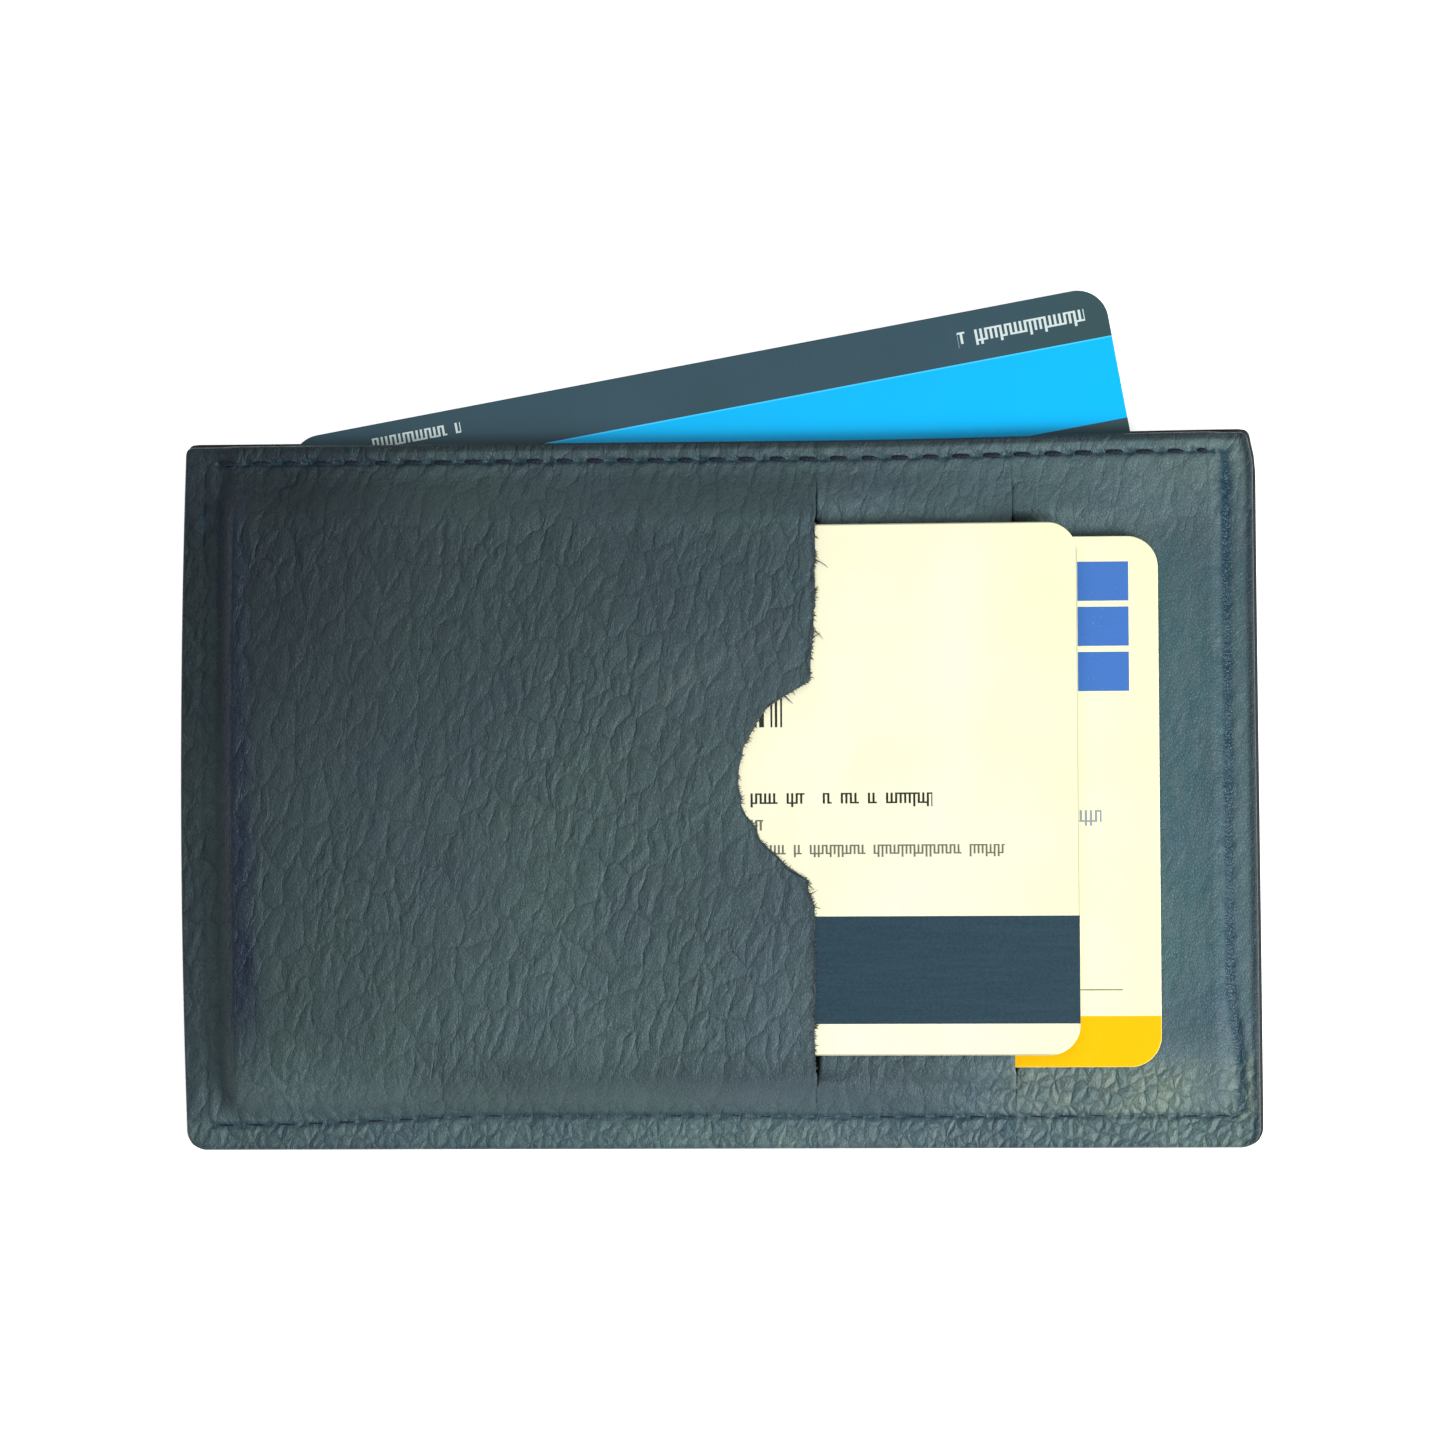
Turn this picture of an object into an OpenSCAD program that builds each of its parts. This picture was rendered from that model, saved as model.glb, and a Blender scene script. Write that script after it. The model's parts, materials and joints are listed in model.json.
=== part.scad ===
// Slim leather card holder, lying on its back with cards in its three pockets.
// The front is one piece of leather with two slits cut through it. Each slit is the
// mouth of a pocket whose back is a thin sheet behind the leather. A third pocket, the
// slot, lies between the front and the rear panel and is open along the top edge.
// +X runs along the long side, +Y towards the open top edge, +Z out of the front.
// The origin is the centre of the rear panel's back face.

/* [Holder] */
// Length of the holder
holder_l = 110; // [110:0.5:116]
// Height of the holder
holder_h = 72.9; // [72.4:0.1:78]
// Thickness of the leather
leather_t = 0.9; // [0.7:0.05:1.1]
// Thickness of each lining and pocket backing
lining_t = 0.15; // [0.1:0.05:0.2]
// Radius of the two bottom corners
bottom_r = 2; // [1:0.5:2.5]
// Radius of the two top corners
top_r = 0.8; // [0.4:0.1:1.2]
// How far the rear panel shows above and to the right of the front
rear_lip = 0.4; // [0.2:0.1:0.6]

/* [Pocket mouths] */
// Place of the first slit along X
slit_1_x = 9.9; // [9.1:0.1:12]
// Place of the second slit along X
slit_2_x = 30.15; // [28:0.05:33]
// Upper end of both slits
slit_top = 31.7; // [30.5:0.1:32.5]
// Lower end of both slits
slit_bottom = -30; // [-30.2:0.1:-29.5]
// Width of each slit
slit_w = 0.3; // [0.2:0.05:0.5]
// Depth of the thumb notch in the first slit
notch_depth = 7.7; // [5:0.1:9]
// Radius of the thumb notch
notch_r = 10.3; // [9:0.1:12]
// Height of the middle of the thumb notch
notch_y = 1.2; // [0:0.1:4]

/* [Stitching] */
// Distance from one stitch to the next
pitch = 3.1; // [2.5:0.1:4]
// Thickness of the thread
thread_d = 0.4; // [0.3:0.05:0.5]
// Distance of the side seams from the edge
side_inset = 2.2; // [2:0.1:2.3]
// Distance of the bottom seam from the edge
bottom_inset = 2.9; // [2.4:0.1:2.9]
// Distance of the seams along the open edge from that edge
mouth_inset = 1.9; // [1.6:0.1:2.4]

/* [Cards] */
// Length of a card
card_l = 85.6; // [85.5:0.1:85.7]
// Height of a card
card_h = 53.98; // [53.9:0.01:54.1]
// Thickness of a card
card_t = 0.76; // [0.6:0.02:0.84]
// Corner radius of a card
card_r = 3.18; // [2.9:0.01:3.5]
// How far the first card stands out of the first slit
card_1_out = 26.75; // [26.5:0.25:40]
// Height of the middle of the first card
card_1_y = 0.25; // [-0.5:0.05:1]
// How far the second card stands out of the second slit
card_2_out = 14.75; // [8:0.05:30]
// Height of the middle of the second card
card_2_y = -1.1; // [-1.1:0.05:0.5]
// Middle of the card in the slot, along X
slot_card_x = 2.3; // [2:0.1:2.5]
// Middle of the card in the slot, along Y
slot_card_y = 17.7; // [8:0.1:30]
// Turn of the card in the slot
slot_card_turn = 10.2; // [8:0.1:11]
// Height of the magnetic stripe
stripe_h = 10.9; // [9:0.1:12.7]
// Distance of the magnetic stripe from the card's long edge
stripe_edge = 3.2; // [2.5:0.1:5]

/* [Hidden] */
$fn = 48;

fit = 0.02;                 // between sheets that lie on each other
card_gap = 0.08;            // above and below a card in its pocket
slit_half = slit_w / 2;
trim = 0.3;                 // the linings stop this far inside the leather's edge
groove_w = 0.8;             // stitching groove in the rear panel's back face
groove_d = 0.45;
notch_blend = 0.9;          // rounding of the notch's two corners
notch_flare = 1.2;          // the corners' reach beyond the notch's arc
notch_flank = 3;            // the steep part of the arc, drawn with closer rows
notch_root = -14;           // the leather's grid is drawn aside from here to the notch
stripe_t = 0.06;            // depth of the stripe, let into the card flush
stitch_gap = 0.3;           // between one stitch and the next
mouth_start = 1.2;          // the mouth seams start this far from the side seams
even_reach = 8;             // past a slit's ends the leather evens out this far to each side
end_gap = 0.3;              // free length behind a card, and beside its long edges
backing_short = 1.5;        // the first pocket's backing ends this far from the second slit
arc_step = 15;              // degrees between points on a sheet's round corner

// Outline of the rear panel, and of the front panel with the lip left free.
left = -holder_l / 2;
right = holder_l / 2;
bottom = -holder_h / 2;
top = holder_h / 2;
front_right = right - rear_lip;
front_top = top - rear_lip;

// Seam lines, and the box inside which the layers are free of each other.
seam_left = left + side_inset;
seam_right = right - side_inset;
seam_bottom = bottom + bottom_inset;
seam_top = front_top - mouth_inset;
slot_ramp = 2.6;            // the front rises to its full lift over this distance
free_l = seam_left + thread_d / 2;
free_r = seam_right - thread_d / 2;
free_b = seam_bottom + thread_d / 2;
free_t = seam_top - thread_d;

// Levels of the lower faces where the layers are sewn together.
rear_lining_z = leather_t + fit;
front_lining_z = rear_lining_z + lining_t + fit;
inner_z = front_lining_z + lining_t + fit;
outer_z = inner_z + lining_t + fit;
front_z = outer_z + lining_t + fit;
face_z = front_z + leather_t;   // the front's face along the seams
slot_lift = card_t + 2 * card_gap - fit;    // the front rises this far over the slot

// The cards lean up out of their pockets, because each passes over the leather on the
// far side of its slit. These are the planes of their lower faces.
band = card_h / 2 + end_gap;
card_1_left = slit_1_x + card_1_out - card_l;
card_2_left = slit_2_x + card_2_out - card_l;
card_2_in = card_1_left;        // its left end, once it is pushed all the way in
inner_top = inner_z + slot_lift + lining_t;
slope_2 = (leather_t + fit) / (slit_2_x + slit_half - card_2_in);
function card_2_z(x) = inner_top + card_gap + slope_2 * (x - card_2_in);
function outer_low(x) = card_2_z(x) + card_t + card_gap;
function strip_low(x) = outer_low(x) + lining_t + fit;
mouth_1 = slit_1_x + slit_half;
slope_1 = (strip_low(mouth_1) + leather_t - outer_low(card_1_left) - lining_t)
          / (mouth_1 - card_1_left);
function card_1_z(x) = outer_low(card_1_left) + lining_t + card_gap
                       + slope_1 * (x - card_1_left);
function flap_low(x) = card_1_z(x) + card_t + card_gap;

// 0 below a, 1 above b, and a smooth rise between.
function ease(a, b, v) = let (t = min(1, max(0, (v - a) / (b - a)))) t * t * (3 - 2 * t);
function mix(a, b, t) = a + (b - a) * t;

// Lift of the front over the slot: flat, sewn down on three sides and open at the top.
function slot_open(x, y) = slot_lift * ease(free_l, free_l + slot_ramp, x)
    * ease(-free_r, slot_ramp - free_r, -x) * ease(free_b, free_b + slot_ramp, y);

// Share of the pockets' full height, falling to 0 at the seams all round.
function pocket_open(x, y) = ease(free_l, card_1_left - end_gap, x)
    * ease(-free_r, slot_ramp - free_r, -x)
    * ease(free_b, card_2_y - band, y) * ease(-free_t, -card_1_y - band, -y);

// Share of the step between the two lips of a slit, gone at the slit's ends.
function step_open(y) = ease(slit_bottom, card_2_y - band, y)
    * ease(-slit_top, -card_1_y - band, -y);

// How far the front leather's lower face rises above its level at the seams. side is
// 0 left of the first slit, 1 between the slits and 2 right of the second.
function leather_rise(x, y, side) =
    let (seat = front_z + slot_lift,
         own = side == 0 ? flap_low(x) - seat
             : side == 1 ? strip_low(x) - seat : -lining_t - fit,
         even = mix(flap_low(x) - seat, -lining_t - fit,
                    ease(slit_1_x - even_reach, slit_2_x + even_reach, x)))
    pocket_open(x, y) * mix(even, own, step_open(y));

// Depth of the thumb notch at height y: an arc with its two corners rounded over.
function notch(y) =
    let (v = y - notch_y, sink = notch_r - notch_depth,
         arc = abs(v) < notch_r ? sqrt(notch_r * notch_r - v * v) - sink
             : notch_r - abs(v) - sink)
    (arc + sqrt(arc * arc + notch_blend * notch_blend)) / 2;

// Draws a point of a square corner of radius r in to a round one.
function tuck(p, inner, r) =
    let (a = (p.x - inner.x) / r, b = (p.y - inner.y) / r, c = min(1, abs(a)), d = min(1, abs(b)))
    [inner.x + sign(a) * r * c * sqrt(1 - d * d / 2), inner.y + sign(b) * r * d * sqrt(1 - c * c / 2)];
function rounded(p, l, r, b, t) =
    let (cr = p.y < 0 ? bottom_r : top_r,
         ix = p.x < 0 ? l + cr : r - cr, iy = p.y < 0 ? b + cr : t - cr,
         out_x = p.x < 0 ? p.x < ix : p.x > ix, out_y = p.y < 0 ? p.y < iy : p.y > iy)
    out_x && out_y ? tuck(p, [ix, iy], cr) : p;

// Even steps from a up to, but without, b.
function steps(a, b, n) = [for (i = [0 : n - 1]) a + (b - a) * i / n];

// A sheet of even thickness over a grid of columns us and rows vs. at(u, v) is a grid
// point's place, with its lower face's height, and gap(u, v) is true where a cell that
// starts at column u and row v is cut away.
module sheet(us, vs, t, at, gap) {
    nu = len(us);
    nv = len(vs);
    low = [for (v = vs, u = us) at(u, v)];
    points = concat(low, [for (p = low) p + [0, 0, t]]);
    function id(i, j, k) = (k * nv + j) * nu + i;
    function here(i, j) = i >= 0 && j >= 0 && i < nu - 1 && j < nv - 1 && !gap(us[i], vs[j]);
    function two(a, b, c, d) = [[a, b, c], [a, c, d]];
    function wall(i, j, m, n) = two(id(i, j, 0), id(m, n, 0), id(m, n, 1), id(i, j, 1));
    faces = [for (j = [0 : nv - 2], i = [0 : nu - 2]) if (here(i, j)) each concat(
        two(id(i, j, 1), id(i, j + 1, 1), id(i + 1, j + 1, 1), id(i + 1, j, 1)),
        two(id(i, j, 0), id(i + 1, j, 0), id(i + 1, j + 1, 0), id(i, j + 1, 0)),
        here(i - 1, j) ? [] : wall(i, j, i, j + 1),
        here(i + 1, j) ? [] : wall(i + 1, j + 1, i + 1, j),
        here(i, j - 1) ? [] : wall(i + 1, j, i, j),
        here(i, j + 1) ? [] : wall(i, j + 1, i + 1, j + 1))];
    polyhedron(points, faces);
}

// A flat rectangle between two corners, with round corners of radius rb below and rt above.
module plate(l, r, b, t, rb, rt, h) {
    arc = [for (q = [0 : 3], a = [0 : arc_step : 90])
        let (rr = q < 2 ? rt : rb, cx = q == 0 || q == 3 ? r - rr : l + rr,
             cy = q < 2 ? t - rr : b + rr)
        [cx + rr * cos(a + 90 * q), cy + rr * sin(a + 90 * q)]];
    linear_extrude(h) polygon(arc);
}

module rear_panel() {
    color("#2f3a40") difference() {
        plate(left, right, bottom, top, bottom_r, top_r, leather_t);
        translate([0, 0, -1]) linear_extrude(1 + groove_d) difference() {
            ring(groove_w / 2);
            ring(-groove_w / 2);
        }
    }
}

// The rectangle of the seam lines, grown by w on every side.
module ring(w) {
    translate([seam_left - w, seam_bottom - w])
        square([seam_right - seam_left + 2 * w, seam_top - seam_bottom + 2 * w]);
}

module rear_lining() {
    color("#20262b") translate([0, 0, rear_lining_z])
        plate(left + trim, right - trim, bottom + trim, top - trim, bottom_r, top_r, lining_t);
}

// Rows and columns that follow the slot's three slopes. Every sheet of the front has
// them, so that the sheets stay parallel there.
left_columns = concat(steps(free_l, free_l + slot_ramp, 5), [free_l + slot_ramp]);
right_columns = concat(steps(free_r - slot_ramp, free_r, 5), [free_r]);
low_rows = concat(steps(free_b, free_b + slot_ramp, 5), [free_b + slot_ramp]);

// One sheet of the slot's front wall, with its lower face z above the rear panel's back.
module slot_wall(z) {
    x_end = [left + trim, front_right - trim];
    y_end = [bottom + trim, front_top - trim];
    place = function (u, v) let (p = rounded([u, v], x_end[0], x_end[1], y_end[0], y_end[1]))
        [p.x, p.y, z + slot_open(p.x, p.y)];
    sheet(concat([x_end[0]], left_columns, steps(card_1_left, free_r - slot_ramp, 8),
                 right_columns, [x_end[1]]),
          concat([y_end[0]], low_rows, steps(slit_bottom, y_end[1], 4), [y_end[1]]),
          lining_t, place, function (u, v) false);
}

module front_lining() {
    color("#262d33") slot_wall(front_lining_z);
}

module inner_pocket_backing() {
    color("#2a3238") slot_wall(inner_z);
}

// The first pocket's backing ends short of the second slit.
module outer_pocket_backing() {
    x_end = [left + trim, slit_2_x - backing_short];
    y_end = [bottom + trim, front_top - trim];
    seat = outer_z + slot_lift;
    place = function (u, v)
        let (p = rounded([u, v], x_end[0], right, y_end[0], y_end[1]))
        [p.x, p.y, outer_z + slot_open(p.x, p.y)
            + (outer_low(p.x) - seat) * pocket_open(p.x, p.y) * step_open(p.y)];
    color("#2d353b")
        sheet(concat([x_end[0]], left_columns, steps(card_1_left - end_gap, x_end[1], 8), [x_end[1]]),
              concat([y_end[0]], low_rows, steps(slit_bottom, card_2_y - band, 3),
                     steps(card_2_y - band, card_1_y + band, 4),
                     steps(card_1_y + band, slit_top, 5), [slit_top, free_t, y_end[1]]),
              lining_t, place, function (u, v) false);
}

lip_1 = [slit_1_x - slit_half, slit_1_x + slit_half];
lip_2 = [slit_2_x - slit_half, slit_2_x + slit_half];
lip_turn = 3;
notch_half = notch_r + notch_flare;
notch_mid = notch_r - notch_flank;
front_columns = concat(steps(left, left + bottom_r, 2), [left + bottom_r], left_columns,
    steps(card_1_left - end_gap, notch_root, 5), steps(notch_root, lip_1[0], 7), lip_1,
    steps(lip_1[1] + lip_turn, lip_2[0], 4), lip_2, steps(lip_2[1] + lip_turn, free_r - slot_ramp, 4),
    right_columns, [front_right - top_r, front_right]);
front_rows = concat(steps(bottom, bottom + bottom_r, 2), [bottom + bottom_r], low_rows,
    steps(slit_bottom, card_2_y - band, 3),
    steps(card_2_y - band, notch_y - notch_half, 3),
    steps(notch_y - notch_half, notch_y - notch_mid, 7),
    steps(notch_y - notch_mid, notch_y + notch_mid, 7),
    steps(notch_y + notch_mid, notch_y + notch_half, 7),
    steps(notch_y + notch_half, card_1_y + band, 3), steps(card_1_y + band, slit_top, 5),
    [slit_top, free_t, front_top - top_r, front_top]);

module front_panel() {
    side = function (u) u < slit_1_x ? 0 : u < slit_2_x ? 1 : 2;
    drawn = function (u, v) u > notch_root && u < slit_1_x
        ? u - notch(v) * pow((u - notch_root) / (lip_1[0] - notch_root), 2) : u;
    place = function (u, v)
        let (p = rounded([drawn(u, v), v], left, front_right, bottom, front_top))
        [p.x, p.y, front_z + slot_open(p.x, p.y) + leather_rise(p.x, p.y, side(u))];
    cut = function (u, v) (u == lip_1[0] || u == lip_2[0]) && v >= slit_bottom && v < slit_top;
    color("#36444a") sheet(front_columns, front_rows, leather_t, place, cut);
}

// One stitch along X: a crown on the face and a leg down into the leather at each end.
module stitch(l, leg) {
    t = thread_d;
    rotate([90, 0, 0]) linear_extrude(t, center = true)
        polygon([[-l / 2, -leg], [-l / 2, t / 2], [t - l / 2, t], [l / 2 - t, t], [l / 2, t / 2],
                 [l / 2, -leg], [l / 2 - t, -leg], [l / 2 - t, 0], [t - l / 2, 0], [t - l / 2, -leg]]);
}

// Stitches from a to b. rise(x, y) is the height of the face that they lie on, and leg
// is how deep they go. up is 1 on a face that looks up, and -1 on one that looks down.
module seam(a, b, leg, up, rise) {
    run = norm(b - a);
    count = round(run / pitch);
    turn = atan2(b.y - a.y, b.x - a.x);
    for (i = [0 : count - 1]) {
        p = a + (b - a) * (i + 0.5) / count;
        translate([p.x, p.y, rise(p.x, p.y)]) rotate([0, 0, turn])
            scale([1, 1, up]) stitch(run / count - stitch_gap, leg);
    }
}

// The seam through every layer: down the left side, along the bottom and up the right.
module outer_seam(leg, up, rise) {
    seam([seam_left, seam_top], [seam_left, seam_bottom + thread_d], leg, up, rise);
    seam([seam_left + thread_d, seam_bottom], [seam_right - thread_d, seam_bottom], leg, up, rise);
    seam([seam_right, seam_bottom + thread_d], [seam_right, seam_top], leg, up, rise);
}

// The seam along the open edge, which doesn't close the slot.
module mouth_seam(leg, up, rise) {
    seam([seam_left + mouth_start, seam_top], [seam_right - mouth_start, seam_top], leg, up, rise);
}

// The needle thread and the bobbin thread meet halfway through the layers.
meet_z = face_z / 2;

module seam_needle_thread() {
    color("#1b2433") outer_seam(face_z - meet_z - fit, 1, function (x, y) face_z);
}

module seam_bobbin_thread() {
    color("#1b2433") outer_seam(meet_z - thread_d - fit, -1, function (x, y) thread_d);
}

module front_mouth_thread() {
    color("#1b2433") mouth_seam(face_z - front_lining_z - card_gap, 1,
                                function (x, y) face_z + slot_open(x, y));
}

module rear_mouth_thread() {
    color("#1b2433") mouth_seam(rear_lining_z + lining_t / 2 - thread_d, -1,
                                function (x, y) thread_d);
}

// A card's outline with its true round corners, thickness h, centred on its left edge.
module card_blank(h) {
    corner = [card_l - card_r, card_h / 2 - card_r];
    linear_extrude(h) union() {
        translate([card_r, -card_h / 2]) square([card_l - 2 * card_r, card_h]);
        translate([0, -corner.y]) square([card_l, 2 * corner.y]);
        for (x = [card_r, corner.x], y = [-corner.y, corner.y]) translate([x, y]) circle(card_r);
    }
}

module lean(x, y, z, slope) {
    translate([x, y, z]) rotate([0, -atan(slope), 0]) children();
}

// The stripe's place, on the card's outward face near its lower long edge. It is h high,
// and runs past the card's ends by over.
module stripe_band(h, over) {
    translate([-over, stripe_edge - card_h / 2, card_t - stripe_t])
        cube([card_l + 2 * over, stripe_h, h]);
}

module front_card() {
    color("#fffbe4") lean(card_1_left, card_1_y, card_1_z(card_1_left), slope_1)
        difference() {
            card_blank(card_t);
            stripe_band(1, 1);
        }
}

module front_card_stripe() {
    color("#344b5c") lean(card_1_left, card_1_y, card_1_z(card_1_left), slope_1)
        stripe_band(stripe_t, 0);
}

module second_card() {
    color("#fffdee") lean(card_2_left, card_2_y, card_2_z(card_2_left), slope_2)
        card_blank(card_t);
}

module slot_card() {
    color("#46586a")
        translate([slot_card_x, slot_card_y, rear_lining_z + lining_t + card_gap])
        rotate([0, 0, slot_card_turn]) translate([-card_l / 2, 0, 0]) card_blank(card_t);
}

rear_panel();
rear_lining();
front_lining();
inner_pocket_backing();
outer_pocket_backing();
front_panel();
seam_needle_thread();
seam_bobbin_thread();
front_mouth_thread();
rear_mouth_thread();
front_card();
front_card_stripe();
second_card();
slot_card();
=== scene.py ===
from collections import namedtuple
import itertools
import json
import math

import bpy
import numpy as np
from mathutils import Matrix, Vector


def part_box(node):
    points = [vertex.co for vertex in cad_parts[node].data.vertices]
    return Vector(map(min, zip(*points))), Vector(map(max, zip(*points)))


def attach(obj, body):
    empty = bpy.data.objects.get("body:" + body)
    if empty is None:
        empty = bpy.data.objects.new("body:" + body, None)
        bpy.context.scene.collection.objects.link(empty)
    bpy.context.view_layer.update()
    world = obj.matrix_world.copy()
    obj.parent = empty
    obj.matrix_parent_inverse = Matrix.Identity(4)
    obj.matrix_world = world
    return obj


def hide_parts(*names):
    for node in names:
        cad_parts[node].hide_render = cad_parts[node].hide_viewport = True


# A slim leather card holder that lies on its back, with cards in its three pockets.
# Lengths are in millimetres up to the last step, where each mesh is scaled to metres.

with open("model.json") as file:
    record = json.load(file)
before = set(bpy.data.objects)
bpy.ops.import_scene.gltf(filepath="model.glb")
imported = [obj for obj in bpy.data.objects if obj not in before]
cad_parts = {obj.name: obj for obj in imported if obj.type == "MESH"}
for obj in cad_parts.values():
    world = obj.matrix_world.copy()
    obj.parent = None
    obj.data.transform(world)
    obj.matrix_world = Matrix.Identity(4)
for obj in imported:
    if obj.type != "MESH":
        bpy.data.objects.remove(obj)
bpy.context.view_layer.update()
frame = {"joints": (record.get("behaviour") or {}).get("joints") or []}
MM = 0.001

# ---------------------------------------------------------------- sizes from the frame


def limits(node):
    """Lowest and highest corner of a CAD node, in millimetres."""
    low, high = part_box(node)
    return np.array(low) / MM, np.array(high) / MM


REAR_LOW, REAR_HIGH = limits("rear_panel")
FRONT_LOW, FRONT_HIGH = limits("front_panel")
LINING_LOW, LINING_HIGH = limits("rear_lining")
SLOT_WALL_LOW = limits("front_lining")[0]
INNER_LOW = limits("inner_pocket_backing")[0]
OUTER_LOW = limits("outer_pocket_backing")[0]
LEFT, BOTTOM = REAR_LOW[0], REAR_LOW[1]
RIGHT, TOP = REAR_HIGH[0], REAR_HIGH[1]
FRONT_RIGHT, FRONT_TOP = FRONT_HIGH[0], FRONT_HIGH[1]
LEATHER_T = REAR_HIGH[2]
LINING_T = LINING_HIGH[2] - LINING_LOW[2]
FIT = LINING_LOW[2] - LEATHER_T
FRONT_Z = FRONT_LOW[2]
FACE_Z = FRONT_Z + LEATHER_T


def slide_slope(joint):
    """Rise of a card for each millimetre that it slides out."""
    axis = next(j["axis"] for j in frame["joints"] if j["name"] == joint)
    return axis[2] / axis[0]


SLOPE_1 = slide_slope("front_card_slide")
SLOPE_2 = slide_slope("second_card_slide")

# ---------------------------------------------------------------- sizes of the design

BOTTOM_R = 2.0          # round corners of the leather
TOP_R = 0.8
TRIM = 0.3              # the linings stop this far inside the leather's edge
SLIT_1, SLIT_2 = 9.9, 30.15
SLIT_HALF = 0.15
SLIT_TOP, SLIT_BOTTOM = 31.7, -30.0
NOTCH_DEPTH, NOTCH_R, NOTCH_Y = 7.7, 10.3, 1.2
NOTCH_BLEND = 0.9       # rounding of the notch's two corners
NOTCH_ROOT = -14.0      # the leather's grid is drawn aside from here to the notch
NOTCH_REACH = 11.0      # rows are closer this far to each side of the notch's middle
CARD_L, CARD_H, CARD_T, CARD_R = 85.6, 53.98, 0.76, 3.18
CARD_SOFT = 0.09        # a card's edges are rounded within this distance
CARD_1_LEFT, CARD_1_Y = -48.95, 0.25
CARD_2_LEFT, CARD_2_Y = -40.7, -1.1
SLOT_CARD_X, SLOT_CARD_Y, SLOT_CARD_TURN = 2.3, 17.7, math.radians(10.2)
CARD_GAP = 0.08         # above and below a card in its pocket
END_GAP = 0.3           # behind a card and beside its long edges
BACKING_SHORT = 1.5     # the first pocket's backing ends this far from the second slit
EVEN_REACH = 8.0        # past a slit's ends the leather evens out this far to each side
EVEN_MORE, EVEN_LESS = 12.0, 10.0   # right of the second slit: further at its top, less below
SECOND_DROP = 2.9       # the second slit's lips part this far below the first slit's
STRIPE_H, STRIPE_EDGE, STRIPE_T = 10.9, 3.2, 0.06

SEAM_LEFT, SEAM_RIGHT = LEFT + 2.2, RIGHT - 2.2
SEAM_BOTTOM, SEAM_TOP = BOTTOM + 2.9, FRONT_TOP - 1.9
MOUTH_START = 1.2       # the mouth seams start this far from the side seams
PITCH = 3.1
THREAD_D = 0.4
SEAM_HALF = 0.4         # half the width of a seam's groove
RAMP = 2.6              # the front rises to its full lift over this distance
SLOT_IN, POCKET_IN = 0.6, 1.2   # on the left the two rises start this far inside the seam
FREE_L = SEAM_LEFT + THREAD_D / 2
FREE_R = SEAM_RIGHT - THREAD_D / 2
FREE_B = SEAM_BOTTOM + THREAD_D / 2
FREE_T = SEAM_TOP - THREAD_D
SLOT_LIFT = CARD_T + 2 * CARD_GAP - FIT
BAND = CARD_H / 2 + END_GAP
LIP_1 = SLIT_1 - SLIT_HALF, SLIT_1 + SLIT_HALF
LIP_2 = SLIT_2 - SLIT_HALF, SLIT_2 + SLIT_HALF
EDGE, LIP_EDGE = 0.36, 0.2      # the leather's edge and lips are rounded this far inside
FOLD_HIGH = 0.07        # height of the old fold across the flap
REAR_SUNK = 0.08        # the rear face's mean height above what it lies on
SLIT_BOW = 0.3          # above the notch the first slit strays this far to the right
LIP_REACH = 1.5         # a lip that is drawn aside takes this much of the leather along
JOINED_GAP = 0.012      # half the slit that stays open where its lips are drawn together

# ---------------------------------------------------------------- heights of the layers


def ease(a, b, v):
    """0 below a, 1 above b, and a smooth rise between."""
    t = np.clip((v - a) / (b - a), 0, 1)
    return t * t * (3 - 2 * t)


def bell(v, middle, reach):
    """1 at the middle, falling softly to 0 on both sides of it."""
    return np.exp(-(((v - middle) / reach) ** 2))


def card_2_z(x):
    return INNER_LOW[2] + SLOT_LIFT + LINING_T + CARD_GAP + SLOPE_2 * (x - CARD_1_LEFT)


def outer_low(x):
    return card_2_z(x) + CARD_T + CARD_GAP


def strip_low(x):
    return outer_low(x) + LINING_T + FIT


def card_1_z(x):
    return outer_low(CARD_1_LEFT) + LINING_T + CARD_GAP + SLOPE_1 * (x - CARD_1_LEFT)


def flap_low(x):
    return card_1_z(x) + CARD_T + CARD_GAP


def slot_open(x, y):
    """Lift of the front over the slot: sewn down on three sides and open at the top."""
    left = ease(FREE_L + SLOT_IN, FREE_L + RAMP + SLOT_IN, x)
    sides = left * ease(-FREE_R, RAMP - FREE_R, -x)
    return SLOT_LIFT * sides * ease(FREE_B, FREE_B + RAMP, y)


def pocket_open(x, y):
    """Share of the pockets' full height, falling to 0 at the seams all round."""
    left = ease(FREE_L + POCKET_IN, CARD_1_LEFT - END_GAP, x)
    sides = left * ease(-FREE_R, RAMP - FREE_R, -x)
    return sides * ease(FREE_B, CARD_2_Y - BAND, y) * ease(-FREE_T, -CARD_1_Y - BAND, -y)


def step_open(x, y):
    """Share of the step between the two lips of a slit, gone at the slit's ends. The second
    slit's lips part only beside its own card, which ends lower than the first."""
    second = ease(SLIT_1 + 8, SLIT_2 - 2, x)
    start = SLIT_TOP - SECOND_DROP * second
    full = CARD_1_Y + BAND + (CARD_2_Y - CARD_1_Y) * second
    return ease(SLIT_BOTTOM, CARD_2_Y - BAND, y) * ease(0, 1, (start - y) / (start - full))


def leather_rise(x, y, side):
    """Rise of the front leather. side is 0 left of the first slit and 2 right of the second."""
    seat = FRONT_Z + SLOT_LIFT
    flap = flap_low(x) - seat
    sunk = -LINING_T - FIT
    own = np.where(side == 0, flap, np.where(side == 1, strip_low(x) - seat, sunk))
    reach = EVEN_REACH + EVEN_MORE * ease(0, 20, y) - EVEN_LESS * ease(0, 20, -y)
    even = flap + (sunk - flap) * ease(SLIT_1 - EVEN_REACH, SLIT_2 + reach, x)
    return pocket_open(x, y) * (even + (own - even) * step_open(x, y))


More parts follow.
